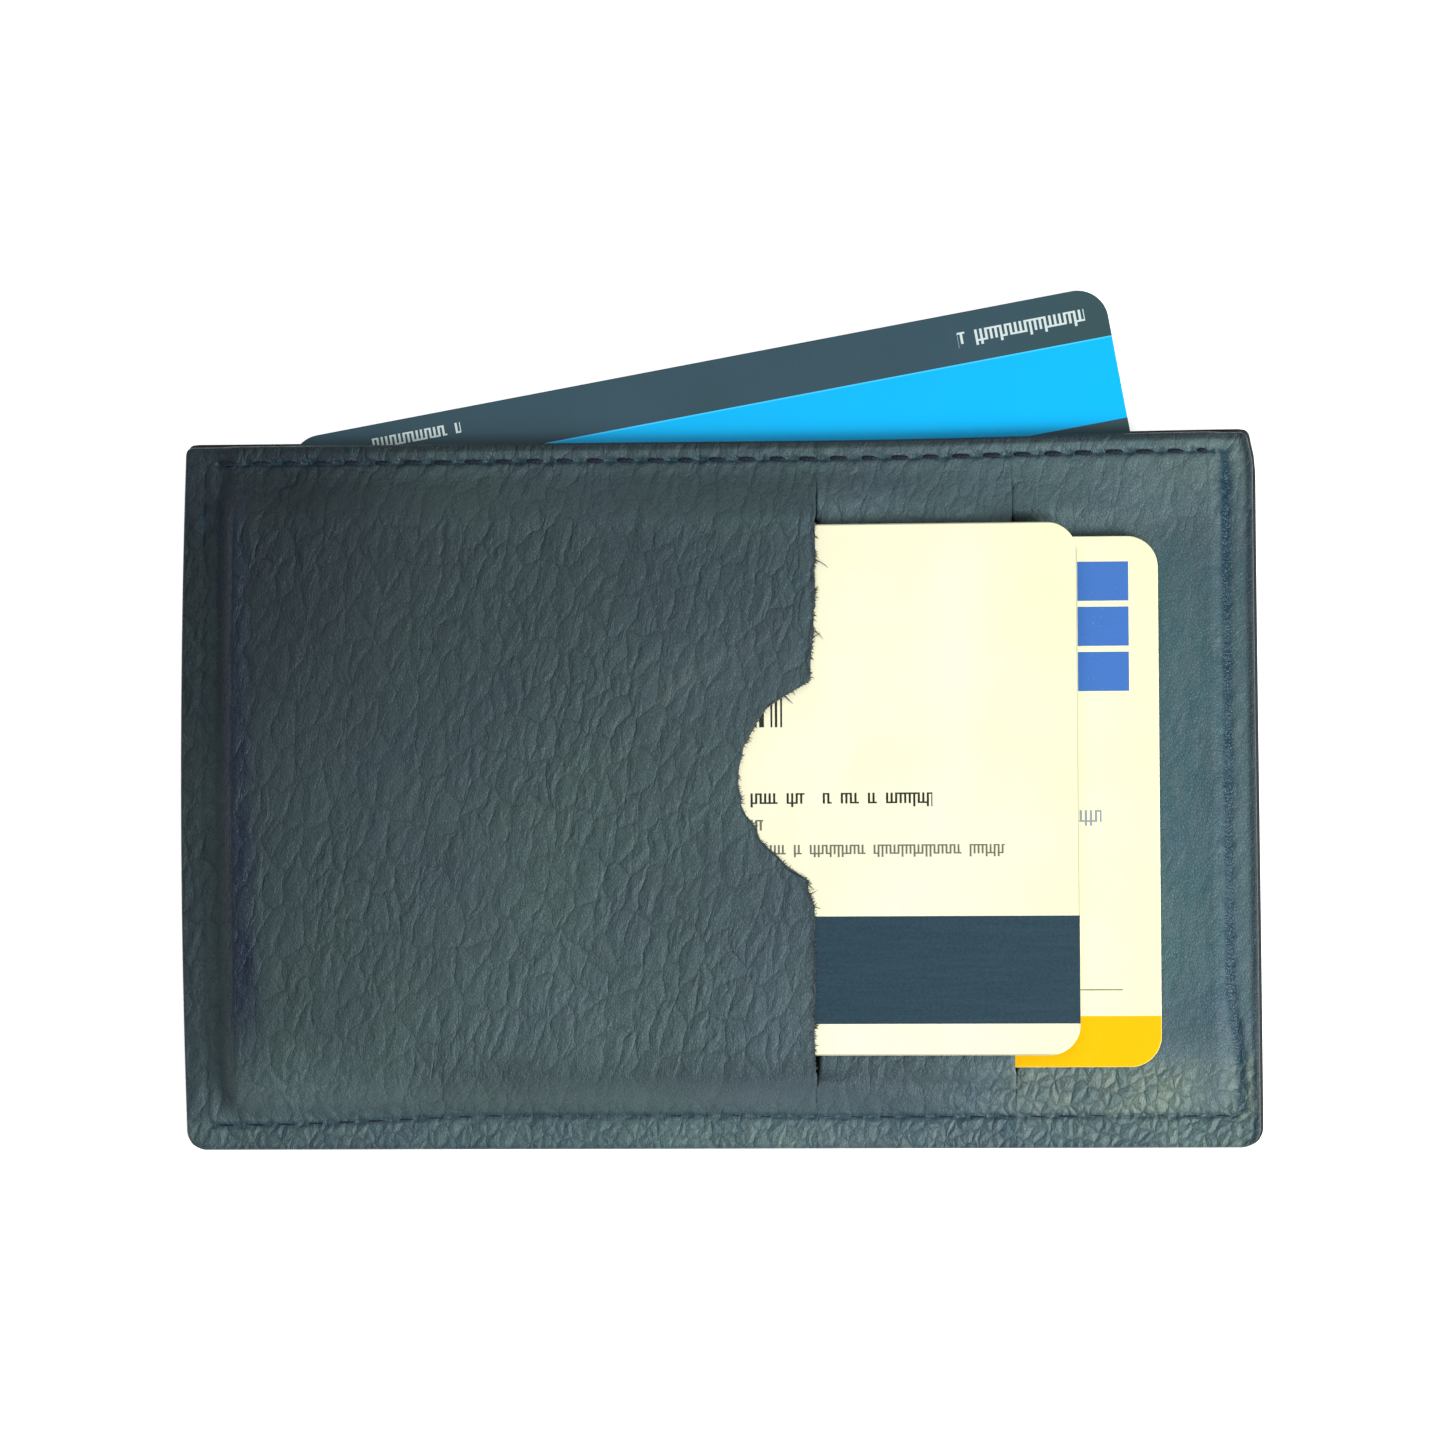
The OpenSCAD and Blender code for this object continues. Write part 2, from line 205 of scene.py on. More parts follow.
def notch(y):
    """Depth of the thumb notch at height y: an arc with its two corners rounded over."""
    v = y - NOTCH_Y
    sink = NOTCH_R - NOTCH_DEPTH
    inside = np.sqrt(np.maximum(NOTCH_R**2 - v * v, 0)) - sink
    arc = np.where(np.abs(v) < NOTCH_R, inside, NOTCH_R - np.abs(v) - sink)
    return (arc + np.sqrt(arc * arc + NOTCH_BLEND**2)) / 2


# Where the knife strayed from the notch's arc: height, reach, and how much deeper it cut.
KNIFE_STRAYS = ((-3.4, 2.6, -0.5), (-6.6, 0.8, -0.5), (-9.3, 1.3, 0.5), (10.1, 0.9, -0.3),
                (13.0, 1.3, 0.3))


def hand_cut(y):
    """Depth of the notch as it was really cut."""
    depth = notch(y)
    for height, reach, deeper in KNIFE_STRAYS:
        depth = depth + deeper * bell(y, height, reach)
    return depth


def rounded(x, y, left, right, bottom, top):
    """Draws the four square corners of a sheet in to round ones."""
    r = np.where(y < 0, BOTTOM_R, TOP_R)
    ix = np.where(x < 0, left + r, right - r)
    iy = np.where(y < 0, bottom + r, top - r)
    a = (x - ix) / r
    b = (y - iy) / r
    corner = (a * np.sign(x) > 0) & (b * np.sign(y) > 0)
    c = np.minimum(np.abs(a), 1)
    d = np.minimum(np.abs(b), 1)
    round_x = ix + np.sign(a) * r * c * np.sqrt(1 - d * d / 2)
    round_y = iy + np.sign(b) * r * d * np.sqrt(1 - c * c / 2)
    return np.where(corner, round_x, x), np.where(corner, round_y, y)


# The outline is cut by hand: its left side bows out, its top right corner stands up and
# is pulled in, and its right side is cut outside its line and leans out towards the bottom.
LEFT_BOW, TOP_STAND, CORNER_PULL, RIGHT_OUT, RIGHT_LEAN = 0.65, 0.55, 0.6, 0.17, 0.2
CORNER_REACH = 4.0      # the corner is pulled in over this height
BOW_REACH = 14.0        # the outline's strays fade out over this distance


def strayed(x, y):
    """A point of the leather or of a lining, moved as the hand-cut outline is."""
    at_left = ease(-LEFT - BOW_REACH, -LEFT, -x)
    at_right = ease(RIGHT - BOW_REACH, RIGHT, x)
    at_top = ease(TOP - BOW_REACH, TOP, y)
    dx = -LEFT_BOW * at_left * (1 - (y / TOP) ** 2)
    dx = dx + at_right * (RIGHT_OUT + RIGHT_LEAN * ease(-SLIT_TOP, -BOTTOM, -y))
    dx = dx - CORNER_PULL * at_right * ease(TOP - CORNER_REACH, TOP, y)
    return x + dx, y + TOP_STAND * at_top * ease(SLIT_1, RIGHT, x)


# ---------------------------------------------------------------- noise

LATTICE = 256


def drift(x, y, seed):
    """Smooth noise from -1 to 1 that changes over a distance of about 1."""
    table = np.random.default_rng(seed).random((LATTICE, LATTICE)) * 2 - 1
    ix = np.floor(x).astype(int)
    iy = np.floor(y).astype(int)
    tx = ease(0, 1, x - ix)
    ty = ease(0, 1, y - iy)

    def at(i, j):
        return table[(ix + i) % LATTICE, (iy + j) % LATTICE]

    low = at(0, 0) + (at(1, 0) - at(0, 0)) * tx
    high = at(0, 1) + (at(1, 1) - at(0, 1)) * tx
    return low + (high - low) * ty


def cells(x, y, seed):
    """How far each point is from its cell's middle, and how far inside its border."""
    table = np.random.default_rng(seed).random((LATTICE, LATTICE, 2))
    ix = np.floor(x).astype(int)
    iy = np.floor(y).astype(int)
    near = np.full(np.shape(x), 9.0)
    second = near.copy()
    for i in (-1, 0, 1):
        for j in (-1, 0, 1):
            spot = table[(ix + i) % LATTICE, (iy + j) % LATTICE]
            away = np.hypot(ix + i + spot[..., 0] - x, iy + j + spot[..., 1] - y)
            second = np.minimum(second, np.maximum(near, away))
            near = np.minimum(near, away)
    return near, second - near


# ---------------------------------------------------------------- relief of the leather

LEAN = math.radians(15)     # the creases lean this much to the right of upright
CREASE_DEEP = 0.02


def creases(x, y, across, along, seed):
    """Long leaning cells with sunk borders: 0 in a crease, 1 on the skin between."""
    u = x * math.cos(LEAN) - y * math.sin(LEAN)
    v = x * math.sin(LEAN) + y * math.cos(LEAN)
    u = u + 0.8 * across * drift(u / 3, v / 5, seed + 1)
    v = v + 0.35 * along * drift(u / 2.4, v / 4, seed + 2)
    middle, inside = cells(u / across, v / along, seed)
    return ease(0, 0.42, inside) * 0.75 + ease(0.75, 0, middle) * 0.25


def patch(x, y, cx, cy, rx, ry):
    """1 in the middle of an oval patch, falling softly to 0 outside it."""
    return np.exp(-(((x - cx) / rx) ** 2) - ((y - cy) / ry) ** 2)


# Oval patches of the leather, in millimetres: their middles and how far they reach.
SMOOTH_FOLD = 0, -30, 26, 2.6           # the leather folds down past the cards' foot
BLUE_FOLD = 9, -29.4, 13, 2.2
SEAM_FOOT = 49.6, -30, 2.2, 4.5         # the right seam's lower end has few pebbles
DULL_SEAM_FOOT = 49.8, -30, 2.6, 4
LEFT_PEBBLES = -44, -30, 7, 3.5         # the lower left corner
PALE_LOWER_LEFT = -43, -30, 9, 4.5
NOTCH_HEAD = 4, 26, 14, 14              # above the notch
SLIT_HEAD = 20, 30, 9, 3                # between the slits' upper ends
RIGHT_TACK = SEAM_RIGHT - 1.0, 30.8, 0.9, 2.5
RIGHT_TACK_TAIL = SEAM_RIGHT - 0.6, 25, 0.7, 6
LEFT_TACK = SEAM_LEFT - 0.2, 28.4, 0.45, 1.5


def skin(x, y, seed):
    """The leather's slow swells in millimetres, how strong its grain is, and how pebbly."""
    calm_right = 0.72 * ease(14, 40, x) * (1 - 0.55 * ease(24, 29, y))
    lively = 1 + 0.3 * drift(x / 9, y / 9, seed + 30)
    strength = lively * (1 - calm_right) * (1 - 0.8 * patch(x, y, *SMOOTH_FOLD))
    low_strip = ease(26.5, 29, -y) * ease(16, 34, x) + 0.7 * ease(33, 34, -y)
    low_strip = low_strip * (1 - 0.75 * patch(x, y, *SEAM_FOOT))
    pebbly = np.clip(low_strip + 0.5 * patch(x, y, *LEFT_PEBBLES), 0, 1)
    swells = 0.05 * drift(x / 6, y / 8, seed + 40) + 0.03 * drift(x / 2.2, y / 4.5, seed + 50)
    long_cells = creases(x, y, 1.9, 5.2, seed)
    return swells + CREASE_DEEP * (long_cells - 1) * strength, strength, pebbly


def sewn(x, y):
    """How far the hand-guided seams stray at a point: the foot's seam bows up, and the
    right side's seam runs inside its line."""
    bow = 0.85 * ease(-47, -22, x) - 0.3 - 0.15 * ease(0, 12, x)
    inward = 1.0 + 0.1 * ease(-30, 24, -y) - 1.0 * ease(19, 29, -y)
    return -inward * ease(49, 51.5, x), bow * ease(28, 31, -y)


# A seam is a row of stitches along one side: where it starts and ends, how much of each
# pitch its thread shows, how wide the thread is, how deep its groove is, how wide, and how
# dark its groove is painted, partly the thread's dye and partly painted shade in the groove.
Seam = namedtuple("Seam", "start end shown wide deep broad marked")
SEAMS = [
    Seam((SEAM_LEFT, SEAM_TOP), (SEAM_LEFT, SEAM_BOTTOM + THREAD_D), 0.7, 0.30, 0.04, 0.3, 0.12),
    Seam((SEAM_LEFT + THREAD_D, SEAM_BOTTOM), (SEAM_RIGHT - THREAD_D, SEAM_BOTTOM),
         0.8, 0.24, 0.13, 0.26, 0.66),
    Seam((SEAM_RIGHT, SEAM_BOTTOM + THREAD_D), (SEAM_RIGHT, SEAM_TOP), 0.5, 0.2, 0.05, 0.5, 1.15),
]
MOUTH_SEAM = Seam((SEAM_LEFT + MOUTH_START, SEAM_TOP), (SEAM_RIGHT - MOUTH_START, SEAM_TOP),
                  0.52, 0.42, 0.2, 0.26, 0.75)
ALL_SEAMS = [*SEAMS, MOUTH_SEAM]


def course(seam):
    """A seam's start, its length, its direction and its number of stitches."""
    a, b = seam.start, seam.end
    run = math.dist(a, b)
    return a, run, ((b[0] - a[0]) / run, (b[1] - a[1]) / run), round(run / PITCH)


def seam_pull(x, y, seam, seed):
    """How a seam shapes the leather: a groove, a pit at each hole and puckers beside it."""
    a, run, way, count = course(seam)
    dx, dy = sewn(x, y)
    x, y = x - dx, y - dy
    along = ((x - a[0]) * way[0] + (y - a[1]) * way[1]) / run * count
    off = (x - a[0]) * way[1] - (y - a[1]) * way[0]
    inside = ease(-0.15, 0.05, along) * ease(-count - 0.15, 0.05 - count, -along)
    hole = np.abs(along - np.round(along)) * PITCH
    groove = seam.deep * bell(off, 0, seam.broad)
    pits = 0.8 * seam.deep * np.exp(-(off**2 + hole**2) / 0.14)
    swell = 0.7 + 0.5 * drift(along * 1.7, off / 2, seed)
    beside = bell(np.abs(off), 0.9, 0.45) * swell
    puckers = 0.15 * beside * ease(1.0, 0.1, hole)
    reach = seam.broad + 0.08 + 0.15 * ease(0.5, 0.1, hole)
    # The groove's dark line, wider at the holes: partly the thread's dye, partly painted shade in the
    # groove and its pits.
    line = seam.marked * np.exp(-((off / reach) ** 4))
    line = line * (0.8 + 0.2 * drift(along * 1.6, 0 * x, seed + 7))
    return inside * (puckers - groove - pits), inside * line


def fold_line(x, y):
    """A faint old fold across the flap, from its middle up towards the notch."""
    start = np.array([-8.0, 7.5])
    end = np.array([8.0, 18.5])
    way = (end - start) / np.linalg.norm(end - start)
    along = (x - start[0]) * way[0] + (y - start[1]) * way[1]
    off = (x - start[0]) * way[1] - (y - start[1]) * way[0] + 0.6 * np.sin(along / 4)
    ends = ease(0, 5, along) * ease(-20, -14, -along)
    return bell(off, 0, 0.5) * ends * (0.6 + 0.4 * drift(along, off, 77))


def edge_drop(d, r):
    """How far a rounded edge of radius r drops at a distance d inside it."""
    t = np.clip(1 - d / r, 0, 1)
    return r * (1 - np.sqrt(1 - t * t))


# ---------------------------------------------------------------- meshes


def rule(*stops):
    """Even steps between places: a place, the longest step after it, a place, and so on."""
    line = [stops[0]]
    for start, step, end in zip(stops[:-2:2], stops[1:-1:2], stops[2::2]):
        count = max(1, math.ceil((end - start) / step - 1e-6))
        line += [start + (end - start) * (i + 1) / count for i in range(count)]
    return np.array(line)


def divided(stops, n):
    """The stops with each interval cut into n."""
    parts = [np.linspace(a, b, n, endpoint=False) for a, b in zip(stops[:-1], stops[1:])]
    return np.append(np.concatenate(parts), stops[-1])


def mesh_piece(name, points, faces, materials, slots=None, smooth=None, values=None):
    """A mesh object in metres. values are named numbers for its points."""
    used = sorted(set(i for face in faces for i in face))
    place = np.full(len(points), -1)
    place[used] = np.arange(len(used))
    mesh = bpy.data.meshes.new(name)
    kept = np.asarray(points)[used] * MM
    mesh.from_pydata(kept.tolist(), [], [[place[i] for i in face] for face in faces])
    for material in materials:
        mesh.materials.append(material)
    if slots is not None:
        mesh.polygons.foreach_set("material_index", slots)
    mesh.polygons.foreach_set("use_smooth", smooth if smooth is not None else [True] * len(faces))
    for key, numbers in (values or {}).items():
        numbers = np.asarray(numbers, np.float32)[used]
        kind = "FLOAT_VECTOR" if numbers.ndim == 2 else "FLOAT"
        attribute = mesh.attributes.new(key, kind, "POINT")
        attribute.data.foreach_set("vector" if numbers.ndim == 2 else "value", numbers.ravel())
    mesh.update()
    piece = bpy.data.objects.new(name, mesh)
    bpy.context.scene.collection.objects.link(piece)
    return piece


def side_walls(here, fine, fine_at, coarse_at):
    """Faces from the fine face to the coarse one, on every side of a cell that is free."""
    fu, fv = fine
    filled = np.pad(here, 1)
    walls = []
    for j, i in zip(*np.nonzero(here)):
        across = range(i * fu, (i + 1) * fu + 1)
        upward = range(j * fv, (j + 1) * fv + 1)
        sides = (
            (0, -1, [fine_at(i * fu, k) for k in upward], (i, j + 1), (i, j)),
            (0, 1, [fine_at((i + 1) * fu, k) for k in reversed(upward)], (i + 1, j), (i + 1, j + 1)),
            (-1, 0, [fine_at(k, j * fv) for k in reversed(across)], (i, j), (i + 1, j)),
            (1, 0, [fine_at(k, (j + 1) * fv) for k in across], (i + 1, j + 1), (i, j + 1)))
        for above, beside, edge, first, last in sides:
            if not filled[j + 1 + above, i + 1 + beside]:
                walls.append(edge + [coarse_at(*first), coarse_at(*last)])
    return walls


def sheet(name, us, vs, fine, shape, materials, gone=None, fine_low=False):
    """A closed sheet over columns us and rows vs. shape(u, v) gives x, y, the lower and the
    upper height and named values. Its good face has fine[0] x fine[1] cells in each cell of
    the other face, and gone(u, v) is true for a cell that is cut away."""
    u, v = np.meshgrid(divided(us, fine[0]), divided(vs, fine[1]))
    x, y, low, high, values = shape(u, v)
    good, plain = (low, high) if fine_low else (high, low)
    rows, columns = u.shape
    coarse = np.s_[:: fine[1], :: fine[0]]
    points = np.concatenate([
        np.stack([x, y, good], -1).reshape(-1, 3),
        np.stack([x[coarse], y[coarse], plain[coarse]], -1).reshape(-1, 3)])
    named = {key: np.concatenate([n.ravel(), n[coarse].ravel()]) for key, n in values.items()}
    here = np.ones((len(vs) - 1, len(us) - 1), bool)
    if gone is not None:
        here = ~gone(*np.meshgrid(us[:-1], vs[:-1]))

    def fine_at(i, j):
        return j * columns + i

    def coarse_at(i, j):
        return rows * columns + j * len(us) + i

    j, i = np.nonzero(np.repeat(np.repeat(here, fine[1], 0), fine[0], 1))
    top = np.stack([fine_at(i, j), fine_at(i + 1, j), fine_at(i + 1, j + 1), fine_at(i, j + 1)], -1)
    j, i = np.nonzero(here)
    under = np.stack([coarse_at(i, j), coarse_at(i, j + 1), coarse_at(i + 1, j + 1),
                      coarse_at(i + 1, j)], -1)
    walls = side_walls(here, fine, fine_at, coarse_at)
    faces = top.tolist() + under.tolist() + walls
    if fine_low:
        faces = [face[::-1] for face in faces]
    slots = [0] * len(top) + [1] * (len(under) + len(walls))
    smooth = [True] * (len(top) + len(under)) + [False] * len(walls)
    return mesh_piece(name, points, faces, materials, slots, smooth, named)


# Longest cells of the sheets' grids: on a slope, by an edge, past a slit's end, between the
# leather's seams, beside a card's long edges, over a card, by the notch, and on a lining.
SLOPE_STEP, EDGE_STEP, END_STEP, FRONT_STEP = 0.6, 0.75, 0.8, 1.08
SIDE_STEP, CARD_STEP, NOTCH_STEP, LINING_STEP = 1.0, 1.6, 1.25, 1.5
REAR_STEP, REAR_ROW = 1.2, 1.7
GOOD_CELLS = 4, 3       # the good face of the leather has this many cells in each of these

# Columns and rows that every sheet has, so that the sheets stay parallel on the slopes.
LEFT_SLOPE = (SEAM_LEFT - SEAM_HALF, SEAM_HALF, SEAM_LEFT + SEAM_HALF, SLOPE_STEP, FREE_L + RAMP)
RIGHT_SLOPE = (FREE_R - RAMP, SLOPE_STEP, SEAM_RIGHT - SEAM_HALF, SEAM_HALF, SEAM_RIGHT + SEAM_HALF)
LOW_SLOPE = (SEAM_BOTTOM - SEAM_HALF, SEAM_HALF, SEAM_BOTTOM + SEAM_HALF, SLOPE_STEP, FREE_B + RAMP)
TOP_SLOPE = SEAM_TOP - SEAM_HALF, SEAM_HALF, SEAM_TOP + SEAM_HALF


def lip_jag(y):
    """How ragged the first slit's cut lip is at height y."""
    rough = 0.14 * drift(y / 0.9, 0 * y, 5) + 0.1 * drift(y / 0.42, 0 * y, 8)
    return rough + 0.22 * bell(y, NOTCH_Y, 10) * drift(y / 1.7, 0 * y, 6)


def lips_met(v):
    """1 where no card parts the slits' lips, past both cards' long edges."""
    above = ease(CARD_1_Y + BAND - 0.3, CARD_1_Y + BAND + 0.5, v)
    return above + ease(BAND - CARD_2_Y - 0.3, BAND - CARD_2_Y + 0.5, -v)


def drawn(u, v):
    """A column's place in row v: drawn aside towards the notch, with a ragged lip, and with
    the slits' lips drawn together past the cards."""
    share = np.clip((u - NOTCH_ROOT) / (LIP_1[0] - NOTCH_ROOT), 0, 1) ** 2
    near = ease(LIP_1[0] - LIP_REACH, LIP_1[0], u)
    flap = (u > NOTCH_ROOT) & (u < SLIT_1)
    met = lips_met(v)
    aside = u + np.where(flap, lip_jag(v) * near * (1 - met) - hand_cut(v) * share, 0)
    close = (SLIT_HALF - JOINED_GAP) * met
    for low, high in (LIP_1, LIP_2):
        aside = aside + close * ease(low - LIP_REACH, low, u) * (u < low + SLIT_HALF)
        aside = aside - close * ease(-high - LIP_REACH, -high, -u) * (u > high - SLIT_HALF)
    bow = SLIT_BOW * ease(14, 19, v) * bell(u, SLIT_1, 6)
    return aside + bow + 0.5 * lip_jag(v) * met * bell(u, SLIT_1, 0.8)


def past_slits(v):
    """How far a row lies above or below the slits' ends."""
    return np.maximum(0, np.maximum(v - SLIT_TOP, SLIT_BOTTOM - v))


def lip_gap(u, v):
    """Distance to the nearest cut lip beside the slits' length, in the grid's own terms."""
    spans = [np.abs(u - lip) for lip in (*LIP_1, *LIP_2)]
    return np.hypot(np.minimum.reduce(spans), past_slits(v))


def tone_of(x, y, seed):
    """Slow changes in the dye, from -1 to 1."""
    return 0.6 * drift(x / 16, y / 12, seed) + 0.4 * drift(x / 4, y / 6, seed + 1)


def under_seam(y):
    """1 on the strip below the foot's seam."""
    return ease(32.5, 34, -y)


def patina(x, y):
    """How pale the leather is painted, partly handled patina and partly painted light: least at the top
    left, most along the foot.
    """
    # Painted light: paler to the right and towards the bottom, as the lamp at the lower right falls off.
    along = 0.13 * ease(LEFT - 2, -20, x) + 0.0042 * x
    down = -0.0064 * y * (1 - 0.8 * ease(5, 40, x))
    # Painted shade on the band above the foot, which faces the lamp, and a paler strip under the foot's
    # seam.
    foot = 0.2 * under_seam(y) - 0.22 * bell(y, -29.5, 2.6) * ease(-40, -20, x)
    # Painted light at the lower right, less under the foot's seam and at the right seam's foot.
    low_right = 0.38 * (1 - 0.4 * under_seam(y) - 0.45 * patch(x, y, *DULL_SEAM_FOOT))
    right = ease(18, 32, x)
    foot = foot * (1 - right) + low_right * ease(24.5, 29, -y) * right
    # A paler patch at the lower left corner.
    pale_lower_left = 0.23 * patch(x, y, *PALE_LOWER_LEFT)
    # Painted light on the slope up to the top edge, between the slits' upper ends and above the notch, and
    # over the shaded slope beside the left seam.
    head = 0.29 * ease(25, 31, y) * ease(LEFT + 8, LEFT + 34, x) + 0.13 * patch(x, y, *SLIT_HEAD)
    head = head + 0.07 * patch(x, y, *NOTCH_HEAD) + 0.24 * bell(x, -51.4, 1.1)
    return np.clip(0.31 + along + down + foot + pale_lower_left + head, 0, 1.2)


def blue_tint_and_slope_shade(x, y):
    """Where the leather is painted dark blue: painted shade down the slope on the left and faintly
    down the right side, and a blue tint under the cards' foot."""
    slope = np.exp(-(((x + 49.2 + 0.03 * y) / 1.6) ** 4)) * ease(-29, -20, y) * ease(-34, -28, -y)
    slope = slope * (0.8 + 0.3 * drift(x / 2, y / 4, 78))
    slope = slope + 0.2 * bell(x, 50.6, 1.4) * ease(-26, -10, -y)
    return slope + 0.4 * patch(x, y, *BLUE_FOLD)


def coolness(x, y):
    """How teal the dye is: most right of the cards, less at the corners and the rim."""
    cool = ease(14, 34, x) * (1 - 0.82 * ease(23, 28, y)) * (1 - ease(21, 29, -y))
    cool = cool * (1 - 0.35 * ease(51.8, 52.6, x)) + 0.2 * under_seam(y)
    return cool + 0.28 * patch(x, y, *NOTCH_HEAD)


def tack_marks(x, y):
    """Dye marks where the side seams start and end, below the top edge."""
    marks = 1.1 * patch(x, y, *RIGHT_TACK) + 0.25 * patch(x, y, *RIGHT_TACK_TAIL)
    return np.minimum(marks + 0.75 * patch(x, y, *LEFT_TACK), 1)


def dark_rim(u, v, margin):
    """How dark the leather is painted along its cut edges and the first slit's lip: partly the edges' own
    dark paint, partly painted shade over the rounded edge that the lamp lights.
    """
    cut_side = (FRONT_RIGHT - u < 1.6) | (FRONT_TOP - v < 0.9)
    rim = np.where(cut_side, 0.9 * ease(-1.1, -0.5, -margin), 0.45 * ease(-0.6, -0.15, BOTTOM - v))
    lip = np.abs(u - LIP_1[0]) + 2 * past_slits(v)
    return np.maximum(rim, ease(-0.6, -0.15, -lip) * (1 - 0.8 * lips_met(v)))


def margin_of(u, v, right, top):
    """Distance inside the leather's outline, in the grid's own terms."""
    return np.minimum(np.minimum(u - LEFT, right - u), np.minimum(v - BOTTOM, top - v))


def front_shape(u, v):
    x, y = rounded(drawn(u, v), v, LEFT, FRONT_RIGHT, BOTTOM, FRONT_TOP)
    side = (u > SLIT_1).astype(int) + (u > SLIT_2)
    low = FRONT_Z + slot_open(x, y) + leather_rise(x, y, side)
    height, strength, pebbly = skin(x, y, 100)
    margin = margin_of(u, v, FRONT_RIGHT, FRONT_TOP)
    lips = edge_drop(lip_gap(u, v), LIP_EDGE) * (1 - 0.85 * lips_met(v))
    height = height * ease(0, 0.5, margin) - edge_drop(margin, EDGE) - lips
    seam = 0
    for index, each in enumerate(ALL_SEAMS):
        pull, near = seam_pull(x, y, each, 300 + index)
        height = height * (1 - 0.6 * near) + pull
        seam = np.maximum(seam, near)
    fold = fold_line(x, y)
    values = {"grain": strength, "pebbly": pebbly, "seam": np.maximum(seam, tack_marks(x, y)),
              "tone": tone_of(x, y, 200), "fold": fold, "valley": blue_tint_and_slope_shade(x, y),
              "rim": dark_rim(u, v, margin), "patina": patina(x, y), "cool": coolness(x, y)}
    return *strayed(x, y), low, low + LEATHER_T + (height + FOLD_HIGH * fold), values


def rear_shape(u, v):
    x, y = rounded(u, v, LEFT, RIGHT, BOTTOM, TOP)
    height, strength, pebbly = skin(x, y, 500)
    margin = margin_of(u, v, RIGHT, TOP)
    sunk = REAR_SUNK - height * ease(0, 0.5, margin) + edge_drop(margin, EDGE)
    seam = 0
    for index, each in enumerate(ALL_SEAMS):
        pull, near = seam_pull(x, y, each, 600 + index)
        sunk = sunk - np.minimum(pull, 0) * 1.5
        seam = np.maximum(seam, near)
    none = 0 * x
    values = {"grain": strength, "pebbly": pebbly, "seam": seam, "tone": tone_of(x, y, 700),
              "fold": none, "valley": none, "rim": none, "patina": none + 0.5, "cool": none}
    return *strayed(x, y), np.maximum(sunk, 0), LEATHER_T + none, values


def lining_shape(right, top, level_of):
    """The shape of a lining up to right and top, whose underside is at level_of(x, y)."""
    def shape(u, v):
        x, y = rounded(u, v, LEFT + TRIM, right, BOTTOM + TRIM, top)
        z = level_of(x, y)
        return *strayed(x, y), z, z + LINING_T, {}
    return shape


def rear_lining_low(x, _y):
    return LINING_LOW[2] + 0 * x


def front_lining_low(x, y):
    return SLOT_WALL_LOW[2] + slot_open(x, y)


def inner_backing_low(x, y):
    return INNER_LOW[2] + slot_open(x, y)


def outer_backing_low(x, y):
    z = OUTER_LOW[2]
    rise = (outer_low(x) - (z + SLOT_LIFT)) * pocket_open(x, y) * step_open(x, y)
    return z + slot_open(x, y) + rise


def in_slit(u, v):
    """True for the cells of the two slits."""
    column = np.isclose(u, LIP_1[0]) | np.isclose(u, LIP_2[0])
    return column & (v > SLIT_BOTTOM - 1e-6) & (v < SLIT_TOP - 1e-6)


def ring_faces(count, n):
    """Faces of a closed skin over count rings of n points each."""
    faces = []
    for i in range(count - 1):
        for k in range(n):
            m = (k + 1) % n
            faces.append([i * n + k, i * n + m, (i + 1) * n + m, (i + 1) * n + k])
    return faces + [list(range(n))[::-1], [(count - 1) * n + k for k in range(n)]]


def tube(path, radius, sides, turns=0.0, lobes=0.0, flat=1.0):
    """Points and faces of a closed tube along path. A twisted thread has two lobes that
    make turns over its length, and flat is its height as a share of its width."""
    path = np.asarray(path, float)
    count = len(path)
    radius = np.broadcast_to(radius, count)
    ahead = np.gradient(path, axis=0)
    ahead /= np.linalg.norm(ahead, axis=1)[:, None]
    across = np.cross(ahead, [0, 0, 1])
    across[np.linalg.norm(across, axis=1) < 1e-6] = [1, 0, 0]
    across /= np.linalg.norm(across, axis=1)[:, None]
    above = np.cross(across, ahead)
    angle = np.arange(sides) * 2 * math.pi / sides
    spin = np.linspace(0, turns, count) * 2 * math.pi
    bulge = 1 + lobes * np.cos(2 * (angle[None] - spin[:, None]))
    ring = (radius[:, None] * bulge)[..., None]
    round_about = (across[:, None] * np.cos(angle)[None, :, None]
                   + above[:, None] * np.sin(angle)[None, :, None] * flat)
    points = (path[:, None] + ring * round_about).reshape(-1, 3)
    return points, ring_faces(count, sides)


def joined(parts):
    """Several (points, faces) as one."""
    points, faces, start = [], [], 0
    for part_points, part_faces in parts:
        points.append(part_points)
        faces += [[i + start for i in face] for face in part_faces]
        start += len(part_points)
    return np.concatenate(points), faces


# ---------------------------------------------------------------- stitches

STITCH_RINGS = 22
STITCH_DIP = 0.42       # a stitch's ends go this far down into their holes
THREAD_SIDES = 10
THREAD_TURNS = 2.5      # turns of the two plies for each millimetre of half a stitch
TACK_SUNK, TACK_WIDE = 0.16, 0.36
SUNK_DEEP, SUNK, SUNK_LITTLE = 0.24, 0.17, 0.08     # how far threads lie below the face
LEFT_DEEP_TO = 24.0     # above here the left seam's thread lies on the leather
REAR_THREAD_Z = 0.2     # the bobbin thread lies in the rear panel's groove


